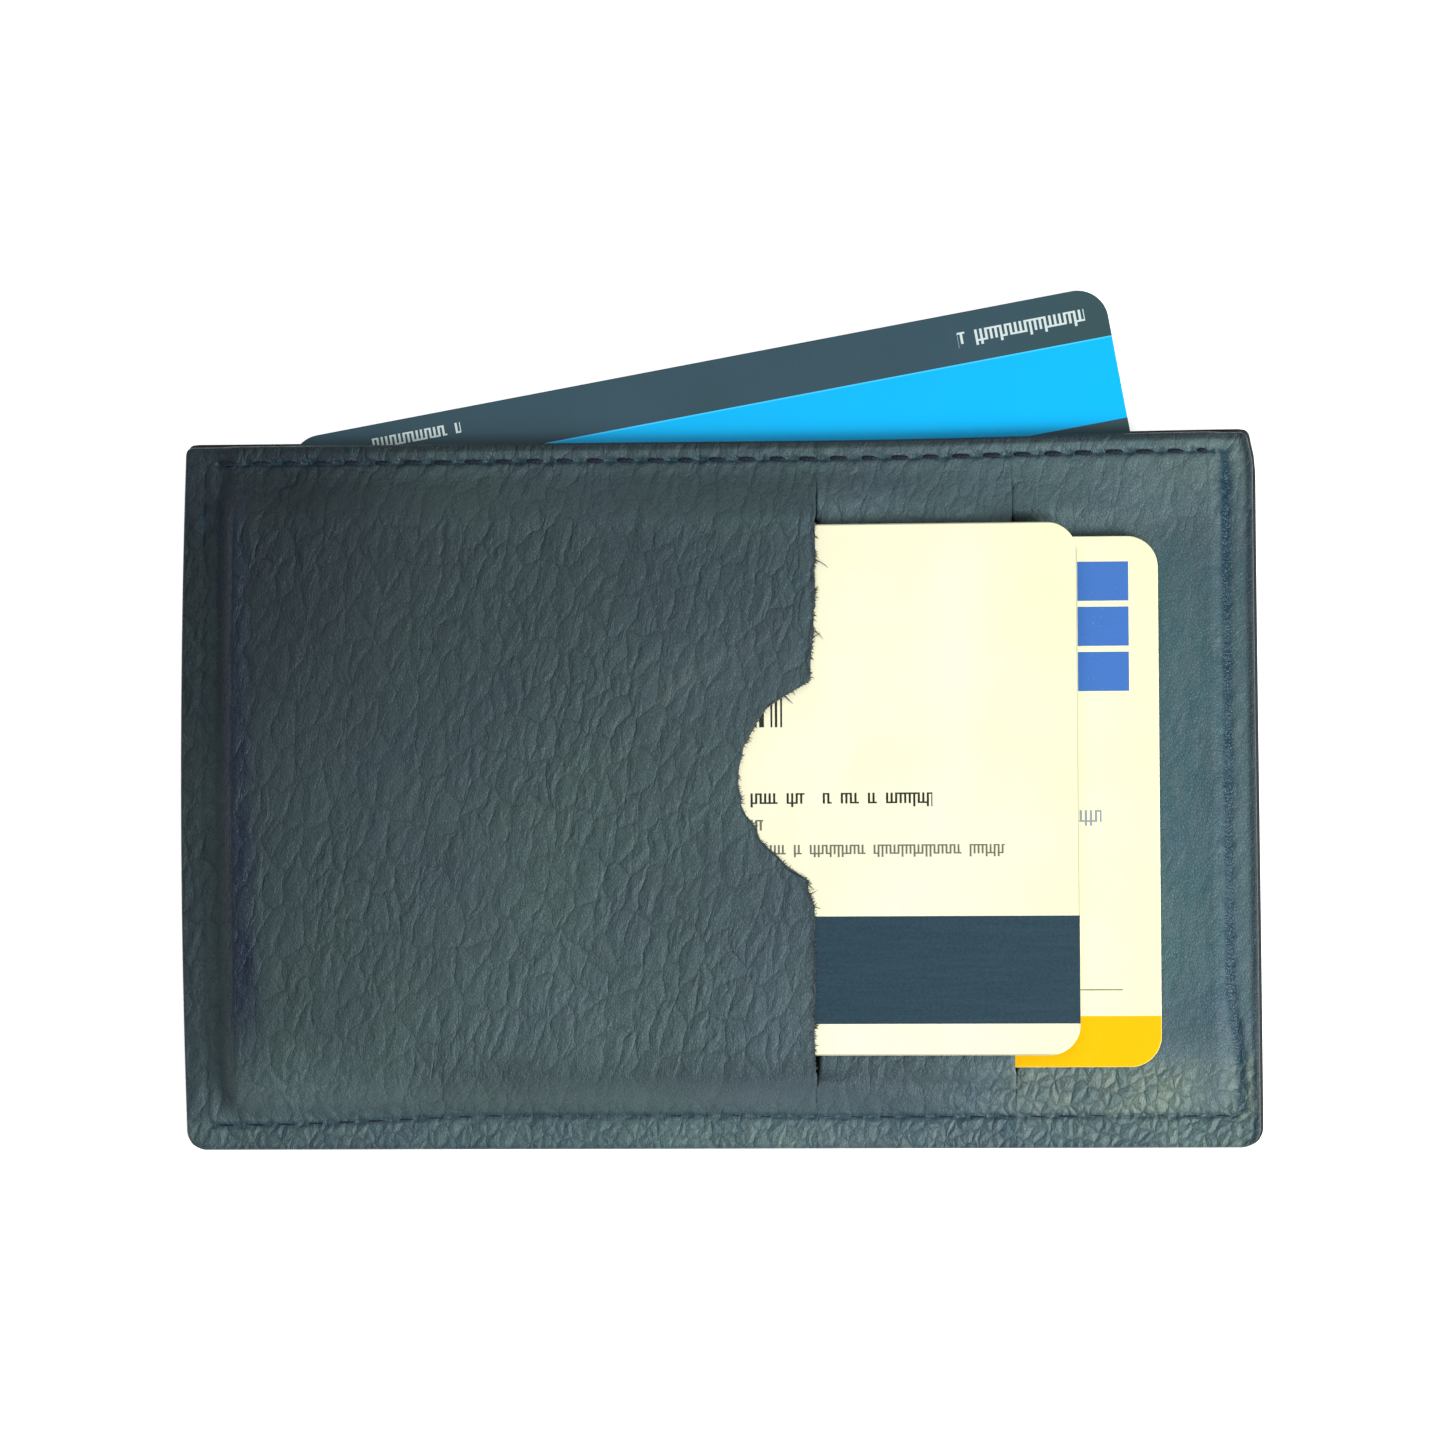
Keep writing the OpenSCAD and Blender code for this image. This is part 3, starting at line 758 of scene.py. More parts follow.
def stitch(centre, way, half, level, up, wide, rng):
    """One stitch: it comes out of its hole, lies on the leather and goes down again."""
    t = np.linspace(-1, 1, STITCH_RINGS)
    slant = rng.uniform(-0.05, 0.05)
    hump = np.sqrt(np.clip(1 - np.abs(t) ** 3.2, 0, 1))
    x = centre[0] + way[0] * half * t + way[1] * (slant + 0.05 * t)
    y = centre[1] + way[1] * half * t - way[0] * (slant + 0.05 * t)
    dx, dy = sewn(x, y)
    x, y = strayed(x + dx, y + dy)
    path = np.stack([x, y, level - up * STITCH_DIP * (1 - hump)], -1)
    return tube(path, wide / 2, THREAD_SIDES, THREAD_TURNS * half, 0.14, 0.85)


def stitches(seams, level_of, up, seed):
    """The stitches of several seams. level_of(x, y) is where their threads' middles lie."""
    rng = np.random.default_rng(seed)
    parts = []
    for seam in seams:
        a, run, way, count = course(seam)
        for i in range(count):
            along = run * (i + 0.5) / count
            centre = a[0] + way[0] * along, a[1] + way[1] * along
            half = run / count * seam.shown / 2 * rng.uniform(0.88, 1.08)
            level = level_of(*centre)
            wide = seam.wide * rng.uniform(0.92, 1.1)
            parts.append(stitch(centre, way, half, level, up, wide, rng))
    return parts


def back_tack(rng):
    """The seam's end is sewn over twice, so extra stitches lie beside the last ones."""
    parts = []
    for i in range(3):
        centre = SEAM_RIGHT + rng.uniform(-0.22, 0.22), SEAM_TOP - 0.9 - 1.35 * i
        parts.append(stitch(centre, (0.0, 1.0), 1.1, FACE_Z - TACK_SUNK, 1, TACK_WIDE, rng))
    return parts


# ---------------------------------------------------------------- cards


def card_outline(inset):
    """Points round a card's outline, drawn in by inset, from its left end's middle."""
    r = CARD_R - inset
    x, y = CARD_L - CARD_R, CARD_H / 2 - CARD_R
    points = []
    for q, (cx, cy) in enumerate([(x, y), (CARD_R, y), (CARD_R, -y), (x, -y)]):
        a = np.linspace(0, math.pi / 2, 13) + q * math.pi / 2
        points.append(np.stack([cx + r * np.cos(a), cy + r * np.sin(a)], -1))
    return np.concatenate(points)


def card_blank(name, material):
    """A card lying at its own origin, with softly rounded edges."""
    soft = CARD_SOFT
    rings = [(soft, 0), (soft * 0.3, soft * 0.3), (0, soft), (0, CARD_T - soft),
             (soft * 0.3, CARD_T - soft * 0.3), (soft, CARD_T)]
    outlines = [np.insert(card_outline(inset), 2, z, 1) for inset, z in rings]
    faces = ring_faces(len(rings), len(outlines[0]))
    smooth = [True] * (len(faces) - 2) + [False, False]
    return mesh_piece(name, np.concatenate(outlines), faces, [material], None, smooth)


def box_cutter(low, high):
    """A plain box to cut with, in millimetres."""
    corners = list(itertools.product(*zip(low, high)))
    faces = [(0, 1, 3, 2), (4, 6, 7, 5), (0, 4, 5, 1), (2, 3, 7, 6), (0, 2, 6, 4), (1, 5, 7, 3)]
    return mesh_piece("cutter", corners, faces, [], None, [False] * 6)


def cut(piece, low, high, way):
    """Cuts a box from low to high with piece, by the boolean that way names."""
    cutter = box_cutter(low, high)
    modifier = piece.modifiers.new("cut", "BOOLEAN")
    modifier.operation = way
    modifier.solver = "EXACT"
    modifier.object = cutter
    made = bpy.data.meshes.new_from_object(piece.evaluated_get(bpy.context.evaluated_depsgraph_get()))
    piece.modifiers.clear()
    piece.data = made
    bpy.data.objects.remove(cutter)


def set_down(piece, place, lean=0.0, turn=0.0):
    """Moves a card's own mesh to its place in the holder, in millimetres. Each point keeps
    its place on the card, and which face it is on, for the print."""
    mesh = piece.data
    co = np.empty(len(mesh.vertices) * 3)
    mesh.vertices.foreach_get("co", co)
    x, y, z = co.reshape(-1, 3).T / MM
    stamped = np.column_stack([x, y, (z - CARD_T / 2) / (CARD_T / 2)]).astype(np.float32)
    attribute = mesh.attributes.new("card", "FLOAT_VECTOR", "POINT")
    attribute.data.foreach_set("vector", stamped.ravel())
    x, z = x * math.cos(lean) - z * math.sin(lean), x * math.sin(lean) + z * math.cos(lean)
    x, y = x * math.cos(turn) - y * math.sin(turn), x * math.sin(turn) + y * math.cos(turn)
    moved = np.column_stack([x + place[0], y + place[1], z + place[2]]) * MM
    mesh.vertices.foreach_set("co", moved.ravel())
    mesh.update()


# ---------------------------------------------------------------- materials


class Finish:
    """A material's nodes, written one short line at a time."""

    def __init__(self, name):
        self.material = bpy.data.materials.new(name)
        self.material.use_nodes = True
        self.tree = self.material.node_tree
        self.tree.nodes.clear()
        output = self.tree.nodes.new("ShaderNodeOutputMaterial")
        self.shader = self.tree.nodes.new("ShaderNodeBsdfPrincipled")
        self.tree.links.new(self.shader.outputs[0], output.inputs[0])

    def node(self, kind, inputs=None, **settings):
        node = self.tree.nodes.new("ShaderNode" + kind)
        for key, value in settings.items():
            setattr(node, key, value)
        for key, value in (inputs or {}).items():
            self.put(value, node.inputs[key])
        return node

    def put(self, value, socket):
        if isinstance(value, bpy.types.NodeSocket):
            self.tree.links.new(value, socket)
        else:
            socket.default_value = value

    def set(self, **values):
        """Sets or links the shader's sockets; a name's underscores stand for spaces."""
        for key, value in values.items():
            self.put(value, self.shader.inputs[key.replace("_", " ")])

    def math(self, operation, a, b=0.0, c=0.0):
        return self.node("Math", {0: a, 1: b, 2: c}, operation=operation).outputs[0]

    def times(self, a, b):
        return self.math("MULTIPLY", a, b)

    def blend(self, share, a, b):
        """A number between a and b."""
        return self.node("Mix", {0: share, 2: a, 3: b}).outputs[0]

    def mix(self, share, a, b, way="MIX"):
        """A colour between a and b."""
        node = self.node("Mix", {0: share, 6: a, 7: b}, data_type="RGBA", blend_type=way)
        return node.outputs[2]

    def tinted(self, share, a, tint):
        """The colour a, multiplied by tint as far as share says."""
        return self.mix(share, a, (*tint, 1) if isinstance(tint, tuple) else tint, "MULTIPLY")

    def span(self, value, low, high, to_low=0.0, to_high=1.0):
        """value brought from low-high to to_low-to_high, and held inside it."""
        node = self.node("MapRange", {0: value, 1: low, 2: high, 3: to_low, 4: to_high})
        return node.outputs[0]

    def named(self, name, output=2):
        return self.node("Attribute", attribute_name=name).outputs[output]

    def place(self, scale=1.0, stretch=(1, 1, 1)):
        """The object's own coordinates in millimetres, scaled."""
        where = self.node("TexCoord").outputs["Object"]
        size = [scale / MM * s for s in stretch]
        return self.node("Mapping", {0: where, 3: size}).outputs[0]

    def noise(self, where, detail=3.0, rough=0.5, output=0):
        node = self.node("TexNoise", {"Vector": where, "Scale": 1.0, "Detail": detail,
                                      "Roughness": rough})
        return node.outputs[output]

    def bump(self, height, depth, normal=None):
        """Bump of a height from 0 to 1, depth in millimetres."""
        node = self.node("Bump", {"Height": height, "Distance": depth * MM})
        if normal is not None:
            self.put(normal, node.inputs["Normal"])
        return node.outputs[0]


def colour(red, green, blue):
    """A linear colour from its screen values, 0 to 255."""
    parts = [v / 255 for v in (red, green, blue)]
    return (*[v / 12.92 if v <= 0.04045 else ((v + 0.055) / 1.055) ** 2.4 for v in parts], 1)


PLATE, SMALL_PLATE, PEBBLE = (2.05, 4.1), (1.05, 2.3), (1.15, 1.45)    # across and along
WRINKLE = 2.4, 9.0
GRAIN_STRETCH = 1, 0.7, 1


def crease_place(f):
    """The leather's own coordinates, made to wander, curl and lean as its creases do."""
    where = f.place()
    for scale, detail, rough, reach in ((0.22, 5.0, 0.62, (1.7, 1.6, 0)), (0.6, 2.0, 0.5, (1.15, 1.3, 0))):
        stray = f.noise(f.place(scale, GRAIN_STRETCH), detail, rough, 1)
        where = f.node("VectorMath", {0: stray, 1: reach, 2: where},
                       operation="MULTIPLY_ADD").outputs[0]
    return f.node("Mapping", {0: where, 2: (0, 0, LEAN)}).outputs[0]


def drawn_out(f, where, size):
    """Coordinates in cells of that size across and along."""
    return f.node("Mapping", {0: where, 3: (1 / size[0], 1 / size[1], 1)}).outputs[0]


def plates(f, where, size, feature="DISTANCE_TO_EDGE"):
    """The hide's plates: how far inside its border a point is, or a shade for each plate."""
    node = f.node("TexVoronoi", {"Vector": drawn_out(f, where, size), "Scale": 1.0,
                                 "Randomness": 0.95}, feature=feature, voronoi_dimensions="2D")
    return node.outputs[1 if feature == "F1" else 0]


def dome(f, cell):
    """A plate's rounded height, from 0 in the crease round it."""
    return f.math("POWER", f.span(cell, 0.0, 0.42), 0.66)


def leather_relief(f, where, pores):
    """The leather's bump, and how dark the creases are painted at each point, which is painted shade."""
    strength, pebbly = f.named("grain"), f.named("pebbly")
    main = plates(f, where, PLATE)
    pebble = plates(f, where, PEBBLE)
    patchy = f.span(f.noise(f.place(0.3), 2.0), 0.35, 0.65, 0.25, 1.0)
    wave = f.noise(drawn_out(f, where, WRINKLE), 2.0, 0.4)
    wrinkles = f.span(f.math("ABSOLUTE", f.math("SUBTRACT", wave, 0.5)), 0.0, 0.05)
    height = f.times(dome(f, main), 0.62)
    height = f.math("MULTIPLY_ADD", f.times(dome(f, plates(f, where, SMALL_PLATE)), patchy), 0.3, height)
    height = f.math("MULTIPLY_ADD", wrinkles, 0.18, height)
    relief = f.blend(pebbly, f.times(height, strength), f.times(f.span(pebble, 0.0, 0.45), 0.85))
    # Painted shade: the creases are darkened in colour, as are the pebbles' borders below.
    crease = f.times(f.span(main, 0.0, 0.07, 0.16, 0.0), strength)
    fine = f.bump(f.noise(f.place(2.0), 5.0, 0.62), 0.095)
    fine = f.bump(pores, 0.02, fine)
    crease_shade = f.blend(pebbly, crease, f.span(pebble, 0.0, 0.16, 0.3, 0.0))
    return f.bump(relief, 0.21, fine), crease_shade


def leather_dye(f, where, mottle):
    """The dye before its marks: paler with handling and with painted light, with a slow drift of
    hue, a shade for each plate and pebble, partly a painted highlight on the pebbles, and streaks
    where it is cool."""
    patina = f.named("patina")
    base = f.mix(f.span(patina, 0.0, 0.45), colour(27, 38, 44), colour(62, 80, 82))
    for low, high, tint in ((0.45, 0.66, (70, 89, 92)), (0.67, 0.83, (76, 97, 101)),
                            (0.83, 1.15, (102, 117, 108))):
        base = f.mix(f.span(patina, low, high), base, colour(*tint))
    base = f.tinted(f.named("cool"), base, (0.54, 0.84, 0.91))
    base = f.tinted(f.span(f.noise(f.place(0.075)), 0.4, 0.62, 0.0, 0.5), base, (0.98, 0.92, 1.12))
    tone = f.span(f.named("tone"), -1.0, 1.0)
    base = f.tinted(1.0, base, f.mix(tone, (0.8, 0.82, 0.84, 1), (1.22, 1.2, 1.12, 1)))
    shade = f.math("FRACT", f.times(plates(f, where, PLATE, "F1"), 3.0))
    base = f.tinted(1.0, base, f.mix(shade, (0.96, 0.96, 0.96, 1), (1.04, 1.04, 1.04, 1)))
    # A random tint, paler and darker, for each pebble; its pale pebbles are partly painted highlight.
    pebble_tint_and_glint = f.span(plates(f, where, PEBBLE, "F1"), 0.2, 0.8)
    pebble_tint_and_glint = f.mix(pebble_tint_and_glint, (0.78, 0.86, 0.9, 1), (1.3, 1.24, 1.14, 1))
    base = f.tinted(f.named("pebbly"), base, pebble_tint_and_glint)
    streak = f.span(f.noise(f.place(0.8, (1, 0.32, 1)), 4.0), 0.4, 0.6)
    base = f.tinted(f.times(streak, f.named("cool")), base, (1.5, 1.12, 1.12))
    return f.tinted(f.span(mottle, 0.35, 0.65, 0.0, 0.4), base, (0.8, 0.86, 0.9))


def leather_finish(name):
    """Drum-dyed calf: flat leaning plates with thin creases between them, finer creases across
    the plates, pebbles where the hide was creased most, painted shade in the creases, and
    paler parts, partly handled and partly painted light."""
    f = Finish(name)
    where = crease_place(f)
    pores = f.node("TexVoronoi", {"Vector": f.place(3.6, GRAIN_STRETCH), "Scale": 1.0},
                   feature="DISTANCE_TO_EDGE")
    pores = f.span(pores.outputs[0], 0.0, 0.22)
    mottle = f.noise(f.place(0.9), 4.0)
    normal, crease_shade = leather_relief(f, where, pores)
    seam, valley = f.named("seam"), f.named("valley")
    base = leather_dye(f, where, mottle)
    # Colours laid over the dye: painted shade in the creases, painted shade in blue on the slopes with a
    # blue tint under the foot, the seams' line (the thread's dye and painted shade in the groove), the rim
    # (edge paint and painted shade), the old fold, painted shade at the fine grain's borders, and pale
    # specks.
    marks = ((crease_shade, (13, 19, 23)), (f.times(valley, 0.88), (11, 21, 49)), (seam, (8, 46, 61)),
             (f.times(f.named("rim"), 0.95), (11, 30, 38)),
             (f.times(f.named("fold"), 0.35), (96, 104, 98)),
             (f.span(pores, 0.0, 1.0, 0.24, 0.0), (14, 19, 24)),
             (f.span(f.noise(f.place(7.0), 2.0), 0.68, 0.76, 0.0, 0.2), (120, 130, 126)))
    for share, tint in marks:
        base = f.mix(share, base, colour(*tint))
    rough = f.math("ADD", f.span(crease_shade, 0.0, 0.3, 0.5, 0.64), f.span(mottle, 0.3, 0.7, -0.05, 0.05))
    waxed = f.math("MAXIMUM", seam, f.times(valley, 0.6))
    f.set(Base_Color=base, Roughness=f.blend(waxed, rough, 0.35), Normal=normal)
    f.set(Specular_IOR_Level=0.38, Specular_Tint=(0.8, 0.96, 1.0, 1))
    f.set(Sheen_Weight=0.05, Sheen_Roughness=0.5, Sheen_Tint=(0.7, 0.85, 0.9, 1))
    return f.material


def raw_edge_finish(name):
    """The leather's cut edge and flesh side: dull, dark and fibrous."""
    f = Finish(name)
    fibre = f.noise(f.place(4.0, (1, 1, 4)), 5.0, 0.7)
    dye = f.noise(f.place(0.8))
    base = f.mix(f.span(fibre, 0.3, 0.7), colour(10, 17, 18), colour(30, 41, 41))
    base = f.mix(f.span(dye, 0.4, 0.65, 0.0, 0.5), base, colour(26, 41, 36))
    f.set(Base_Color=base, Roughness=f.span(fibre, 0.2, 0.8, 0.75, 0.9), Normal=f.bump(fibre, 0.06))
    f.set(Specular_IOR_Level=0.3, Sheen_Weight=0.2, Sheen_Roughness=0.6)
    return f.material


CLOTH_PITCH = 0.3       # millimetres from one thread of a lining to the next


def cloth_finish(name, dark, light):
    """A plain-woven lining."""
    f = Finish(name)
    ways = [f.node("TexWave", {"Vector": f.place(1 / CLOTH_PITCH), "Scale": 0.32, "Distortion": 0.3,
                               "Detail": 1.0}, bands_direction=way).outputs[1] for way in "XY"]
    weave = f.math("MAXIMUM", *ways)
    slub = f.noise(f.place(1.2, (1, 0.15, 1)), 4.0)
    base = f.mix(f.span(weave, 0.3, 1.0), dark, light)
    base = f.mix(f.span(slub, 0.4, 0.7, 0.0, 0.5), base, dark)
    f.set(Base_Color=base, Roughness=f.span(slub, 0.3, 0.7, 0.6, 0.75), Normal=f.bump(weave, 0.04))
    f.set(Sheen_Weight=0.35, Sheen_Roughness=0.4, Specular_IOR_Level=0.35)
    return f.material


def thread_finish(name):
    """Navy polyester thread: a soft shine on the plies, and fine filaments."""
    f = Finish(name)
    hairs = f.noise(f.place(9.0), 4.0, 0.65)
    fade = f.noise(f.place(0.25), 2.0)
    base = f.mix(f.span(hairs, 0.3, 0.7), colour(10, 16, 28), colour(24, 36, 54))
    base = f.mix(f.span(fade, 0.4, 0.7, 0.0, 0.3), base, colour(26, 38, 56))
    f.set(Base_Color=base, Roughness=f.span(hairs, 0.3, 0.7, 0.6, 0.75), Normal=f.bump(hairs, 0.03))
    f.set(Specular_IOR_Level=0.25, Sheen_Weight=0.08, Sheen_Roughness=0.4)
    return f.material


class CardPrint(Finish):
    """A plastic card's finish, with print laid on by the place on the card."""

    def __init__(self, name, base):
        super().__init__(name)
        split = self.node("SeparateXYZ", {0: self.named("card", 1)})
        self.u, self.v, side = split.outputs
        self.on_face = self.above(side, 0.9)
        self.cloud = self.noise(self.place(0.12))
        self.dust = self.noise(self.place(5.0), 2.0)
        self.base = self.tinted(self.span(self.cloud, 0.35, 0.7), base, (0.94, 0.94, 0.91))
        self.lay(self.span(self.dust, 0.7, 0.8, 0.0, 0.12), colour(150, 150, 135))
        aged = self.span(self.u, 0.86 * CARD_L, 0.98 * CARD_L)
        self.base = self.tinted(aged, self.base, (1.0, 1.0, 0.86))

    def lay(self, share, tint):
        self.base = self.mix(share, self.base, tint)

    def within(self, value, low, high):
        """1 between low and high."""
        return self.math("COMPARE", value, (low + high) / 2, (high - low) / 2)

    def above(self, value, level):
        return self.math("GREATER_THAN", value, level)

    def worn_and_shaded_edge(self, tint):
        """A thin dark line round the card's outline: partly wear, partly painted shade along the card's
        edge.
        """
        across = self.math("ABSOLUTE", self.math("SUBTRACT", self.u, CARD_L / 2))
        across = self.above(across, CARD_L / 2 - EDGE_LINE)
        upward = self.above(self.math("ABSOLUTE", self.v), CARD_H / 2 - EDGE_LINE)
        self.lay(self.math("MAXIMUM", across, upward), tint)

    def bar(self, u0, u1, v0, v1):
        """1 inside a rectangle of the card's face."""
        return self.times(self.within(self.u, u0, u1), self.within(self.v, v0, v1))

    def strokes(self, u0, u1, middle, height, seed, gap=0.14):
        """A run of plain strokes, some joined above or below, that spells nothing."""
        count = self.math("DIVIDE", self.u, height * 0.27)
        index = self.math("FLOOR", count)
        pair = self.math("FLOOR", self.math("DIVIDE", index, 2.0))
        chance, word = [self.node("TexWhiteNoise", {"W": w}, noise_dimensions="1D").outputs[0]
                        for w in (self.math("ADD", index, seed), pair)]
        over = self.math("SUBTRACT", self.v, middle)
        off = self.math("ABSOLUTE", over)
        low_half = height * 0.32
        taller = self.above(self.math("FRACT", self.times(chance, 7.0)), 0.72)
        reach = self.math("MULTIPLY_ADD", taller, height * 0.2, low_half)
        upright = self.math("LESS_THAN", self.math("SUBTRACT", count, index), 0.5)
        upright = self.times(upright, self.math("LESS_THAN", off, reach))
        upright = self.times(upright, self.math("LESS_THAN", over, low_half))
        ends = self.within(off, low_half - height * 0.1, low_half)
        turned = self.above(self.times(over, self.math("SUBTRACT", chance, 0.5)), 0.0)
        shown = self.math("MAXIMUM", upright, self.times(ends, turned))
        shown = self.times(shown, self.above(word, gap))
        return self.times(shown, self.within(self.u, u0, u1))

    def ink(self, mask, tint, strength=1.0):
        share = self.times(self.times(mask, self.on_face), strength)
        self.lay(self.times(share, self.span(self.dust, 0.26, 0.36, 0.92, 1.0)), tint)

    def finish(self, rough=0.36):
        rough = self.span(self.cloud, 0.3, 0.7, rough - 0.04, rough + 0.05)
        self.set(Base_Color=self.base, Roughness=rough, Specular_IOR_Level=0.12)
        self.set(Normal=self.bump(self.noise(self.place(1.6)), 0.012))
        return self.material


EDGE_LINE = 0.14        # width of the dark line round a card, in millimetres: partly wear, partly painted shade
WHOLE_CARD = -1.0, 87.0     # a bar that runs past both ends of a card
INK = colour(38, 44, 40)
PALE_INK = colour(70, 78, 72)
SILVER = colour(206, 222, 220)
CREAM = (0.86, 0.845, 0.62, 1)


def first_card_finish():
    """Cream card with a strip of bars and two lines of strokes."""
    f = CardPrint("cream_card", CREAM)
    for start, width in ((52.7, 0.3), (53.25, 0.5), (54.4, 0.2), (54.85, 0.25), (55.4, 0.2)):
        f.ink(f.bar(start, start + width, 6.35, 14.0), INK)
    f.ink(f.strokes(46.0, 70.8, -0.9, 1.7, 3), INK)
    f.ink(f.strokes(46.0, 78.1, -6.1, 1.5, 41, 0.24), PALE_INK, 0.9)
    f.ink(f.strokes(50.9, 53.6, -3.6, 1.7, 12, 0.1), PALE_INK, 0.9)
    f.worn_and_shaded_edge(colour(176, 174, 150))
    return f.finish()


def second_card_finish():
    """White card with a blue panel, a fine rule and a yellow foot."""
    f = CardPrint("white_card", (0.86, 0.845, 0.59, 1))
    for low, high in ((20.4, 24.4), (15.8, 19.8), (11.2, 15.2)):
        f.ink(f.bar(70.0, 82.6, low, high), (0.05, 0.155, 0.46, 1))
    f.ink(f.bar(66.0, 81.7, -19.22, -19.08), colour(120, 122, 96))
    f.ink(f.strokes(70.0, 79.7, -1.5, 1.9, 9, 0.1), colour(110, 122, 150), 0.85)
    f.ink(f.bar(*WHOLE_CARD, -28.0, -21.8), (0.8, 0.425, 0.0, 1))
    return f.finish()


def slot_card_finish():
    """Slate card with a bright blue band and two lines of pale strokes."""
    f = CardPrint("slate_card", colour(52, 78, 90))
    f.ink(f.bar(*WHOLE_CARD, 13.15, 21.75), (0.0, 0.43, 0.85, 1))
    f.ink(f.bar(*WHOLE_CARD, 21.6, 21.75), (0.05, 0.55, 0.95, 1))
    f.ink(f.strokes(70.0, 83.2, 24.35, 1.9, 21, 0.12), SILVER, 0.9)
    f.ink(f.strokes(8.6, 18.0, 25.0, 1.7, 31, 0.1), SILVER, 0.9)
    return f.finish()


def stripe_finish():
    """Magnetic stripe: dull slate blue, with fine specks in its coating."""
    f = Finish("magnetic_stripe")
    specks = f.noise(f.place(4.5), 4.0, 0.7)
    drag = f.noise(f.place(1.0, (0.15, 3, 1)))
    base = f.mix(f.span(specks, 0.25, 0.75), colour(22, 44, 57), colour(38, 66, 80))
    base = f.mix(f.span(drag, 0.45, 0.75, 0.0, 0.2), base, colour(54, 78, 90))
    f.set(Base_Color=base, Roughness=f.span(drag, 0.3, 0.7, 0.5, 0.6), Specular_IOR_Level=0.25)
    f.set(Normal=f.bump(specks, 0.005))
    return f.material


FLOOR_GLOW = 0.66


def floor_finish():
    """Pale studio floor that stays bright in the object's own shade."""
    f = Finish("studio_floor")
    f.set(Base_Color=(0.92, 0.92, 0.92, 1), Roughness=0.9, Specular_IOR_Level=0.0)
    f.set(Emission_Color=(1, 1, 1, 1), Emission_Strength=FLOOR_GLOW)
    return f.material


LEATHER = leather_finish("outer_leather")
RAW_EDGE = raw_edge_finish("leather_edge")
CLOTHS = {"lining_cloth": cloth_finish("lining_cloth", colour(22, 26, 33), colour(40, 46, 56)),
          "pocket_cloth": cloth_finish("pocket_cloth", colour(26, 31, 37), colour(48, 55, 63))}
THREAD = thread_finish("thread")

# ---------------------------------------------------------------- the holder's pieces

HOLDER = "holder"


def settle(piece, body, slot, *nodes):
    """A finished piece rides on its body and stands for its CAD nodes."""
    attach(piece, body)
    if nodes:
        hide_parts(*nodes)
    return piece


def make_front_leather():
    slit = 2 * SLIT_HALF
    us = rule(LEFT, EDGE, LEFT + EDGE, EDGE_STEP, *LEFT_SLOPE, FRONT_STEP, LIP_1[0], slit, LIP_1[1],
              FRONT_STEP, LIP_2[0], slit, LIP_2[1], FRONT_STEP, *RIGHT_SLOPE, EDGE_STEP,
              FRONT_RIGHT - EDGE, EDGE, FRONT_RIGHT)
    vs = rule(BOTTOM, EDGE, BOTTOM + EDGE, EDGE_STEP, *LOW_SLOPE, END_STEP, SLIT_BOTTOM, SIDE_STEP,
              CARD_2_Y - BAND, CARD_STEP, NOTCH_Y - NOTCH_REACH, NOTCH_STEP, NOTCH_Y + NOTCH_REACH,
              CARD_STEP, CARD_1_Y + BAND, SIDE_STEP, SLIT_TOP, END_STEP, *TOP_SLOPE, EDGE_STEP,
              FRONT_TOP - EDGE, EDGE, FRONT_TOP)
    piece = sheet("front_leather", us, vs, GOOD_CELLS, front_shape, [LEATHER, RAW_EDGE], in_slit)
    return settle(piece, HOLDER, "outer_leather", "front_panel")


def make_rear_leather():
    us = rule(LEFT, EDGE, LEFT + EDGE, EDGE_STEP, *LEFT_SLOPE, REAR_STEP, *RIGHT_SLOPE, EDGE_STEP,
              RIGHT - EDGE, EDGE, RIGHT)
    vs = rule(BOTTOM, EDGE, BOTTOM + EDGE, EDGE_STEP, *LOW_SLOPE, REAR_ROW, *TOP_SLOPE, EDGE_STEP,
              TOP - EDGE, EDGE, TOP)
    piece = sheet("rear_leather", us, vs, GOOD_CELLS, rear_shape, [LEATHER, RAW_EDGE], None, True)
    return settle(piece, HOLDER, "outer_leather", "rear_panel")


def lining_grid(left, right, bottom, top, up_to_right):
    """Columns and rows of a lining, close together where the sheets slope."""
    end = (*RIGHT_SLOPE, END_STEP, right) if up_to_right else (right,)
    us = rule(left, END_STEP, *LEFT_SLOPE, LINING_STEP, *end)
    vs = rule(bottom, END_STEP, *LOW_SLOPE, END_STEP, CARD_2_Y - BAND, LINING_STEP, CARD_1_Y + BAND,
              END_STEP, SLIT_TOP, END_STEP, *TOP_SLOPE, END_STEP, top)
    return us, vs


def make_lining(name, level_of, right, top, slot, node):
    left, bottom = LEFT + TRIM, BOTTOM + TRIM
    us, vs = lining_grid(left, right, bottom, top, right > SEAM_RIGHT)
    shape = lining_shape(max(right, FRONT_RIGHT - TRIM), top, level_of)
    piece = sheet(name, us, vs, (1, 1), shape, [CLOTHS[slot], CLOTHS[slot]])
    settle(piece, HOLDER, slot, node)


def make_linings():
    right, top = FRONT_RIGHT - TRIM, FRONT_TOP - TRIM
    make_lining("rear_lining_cloth", rear_lining_low, RIGHT - TRIM, TOP - TRIM,
                "lining_cloth", "rear_lining")
    make_lining("front_lining_cloth", front_lining_low, right, top,
                "lining_cloth", "front_lining")
    make_lining("inner_pocket_cloth", inner_backing_low, right, top,
                "pocket_cloth", "inner_pocket_backing")
    make_lining("outer_pocket_cloth", outer_backing_low, SLIT_2 - BACKING_SHORT, top,
                "pocket_cloth", "outer_pocket_backing")


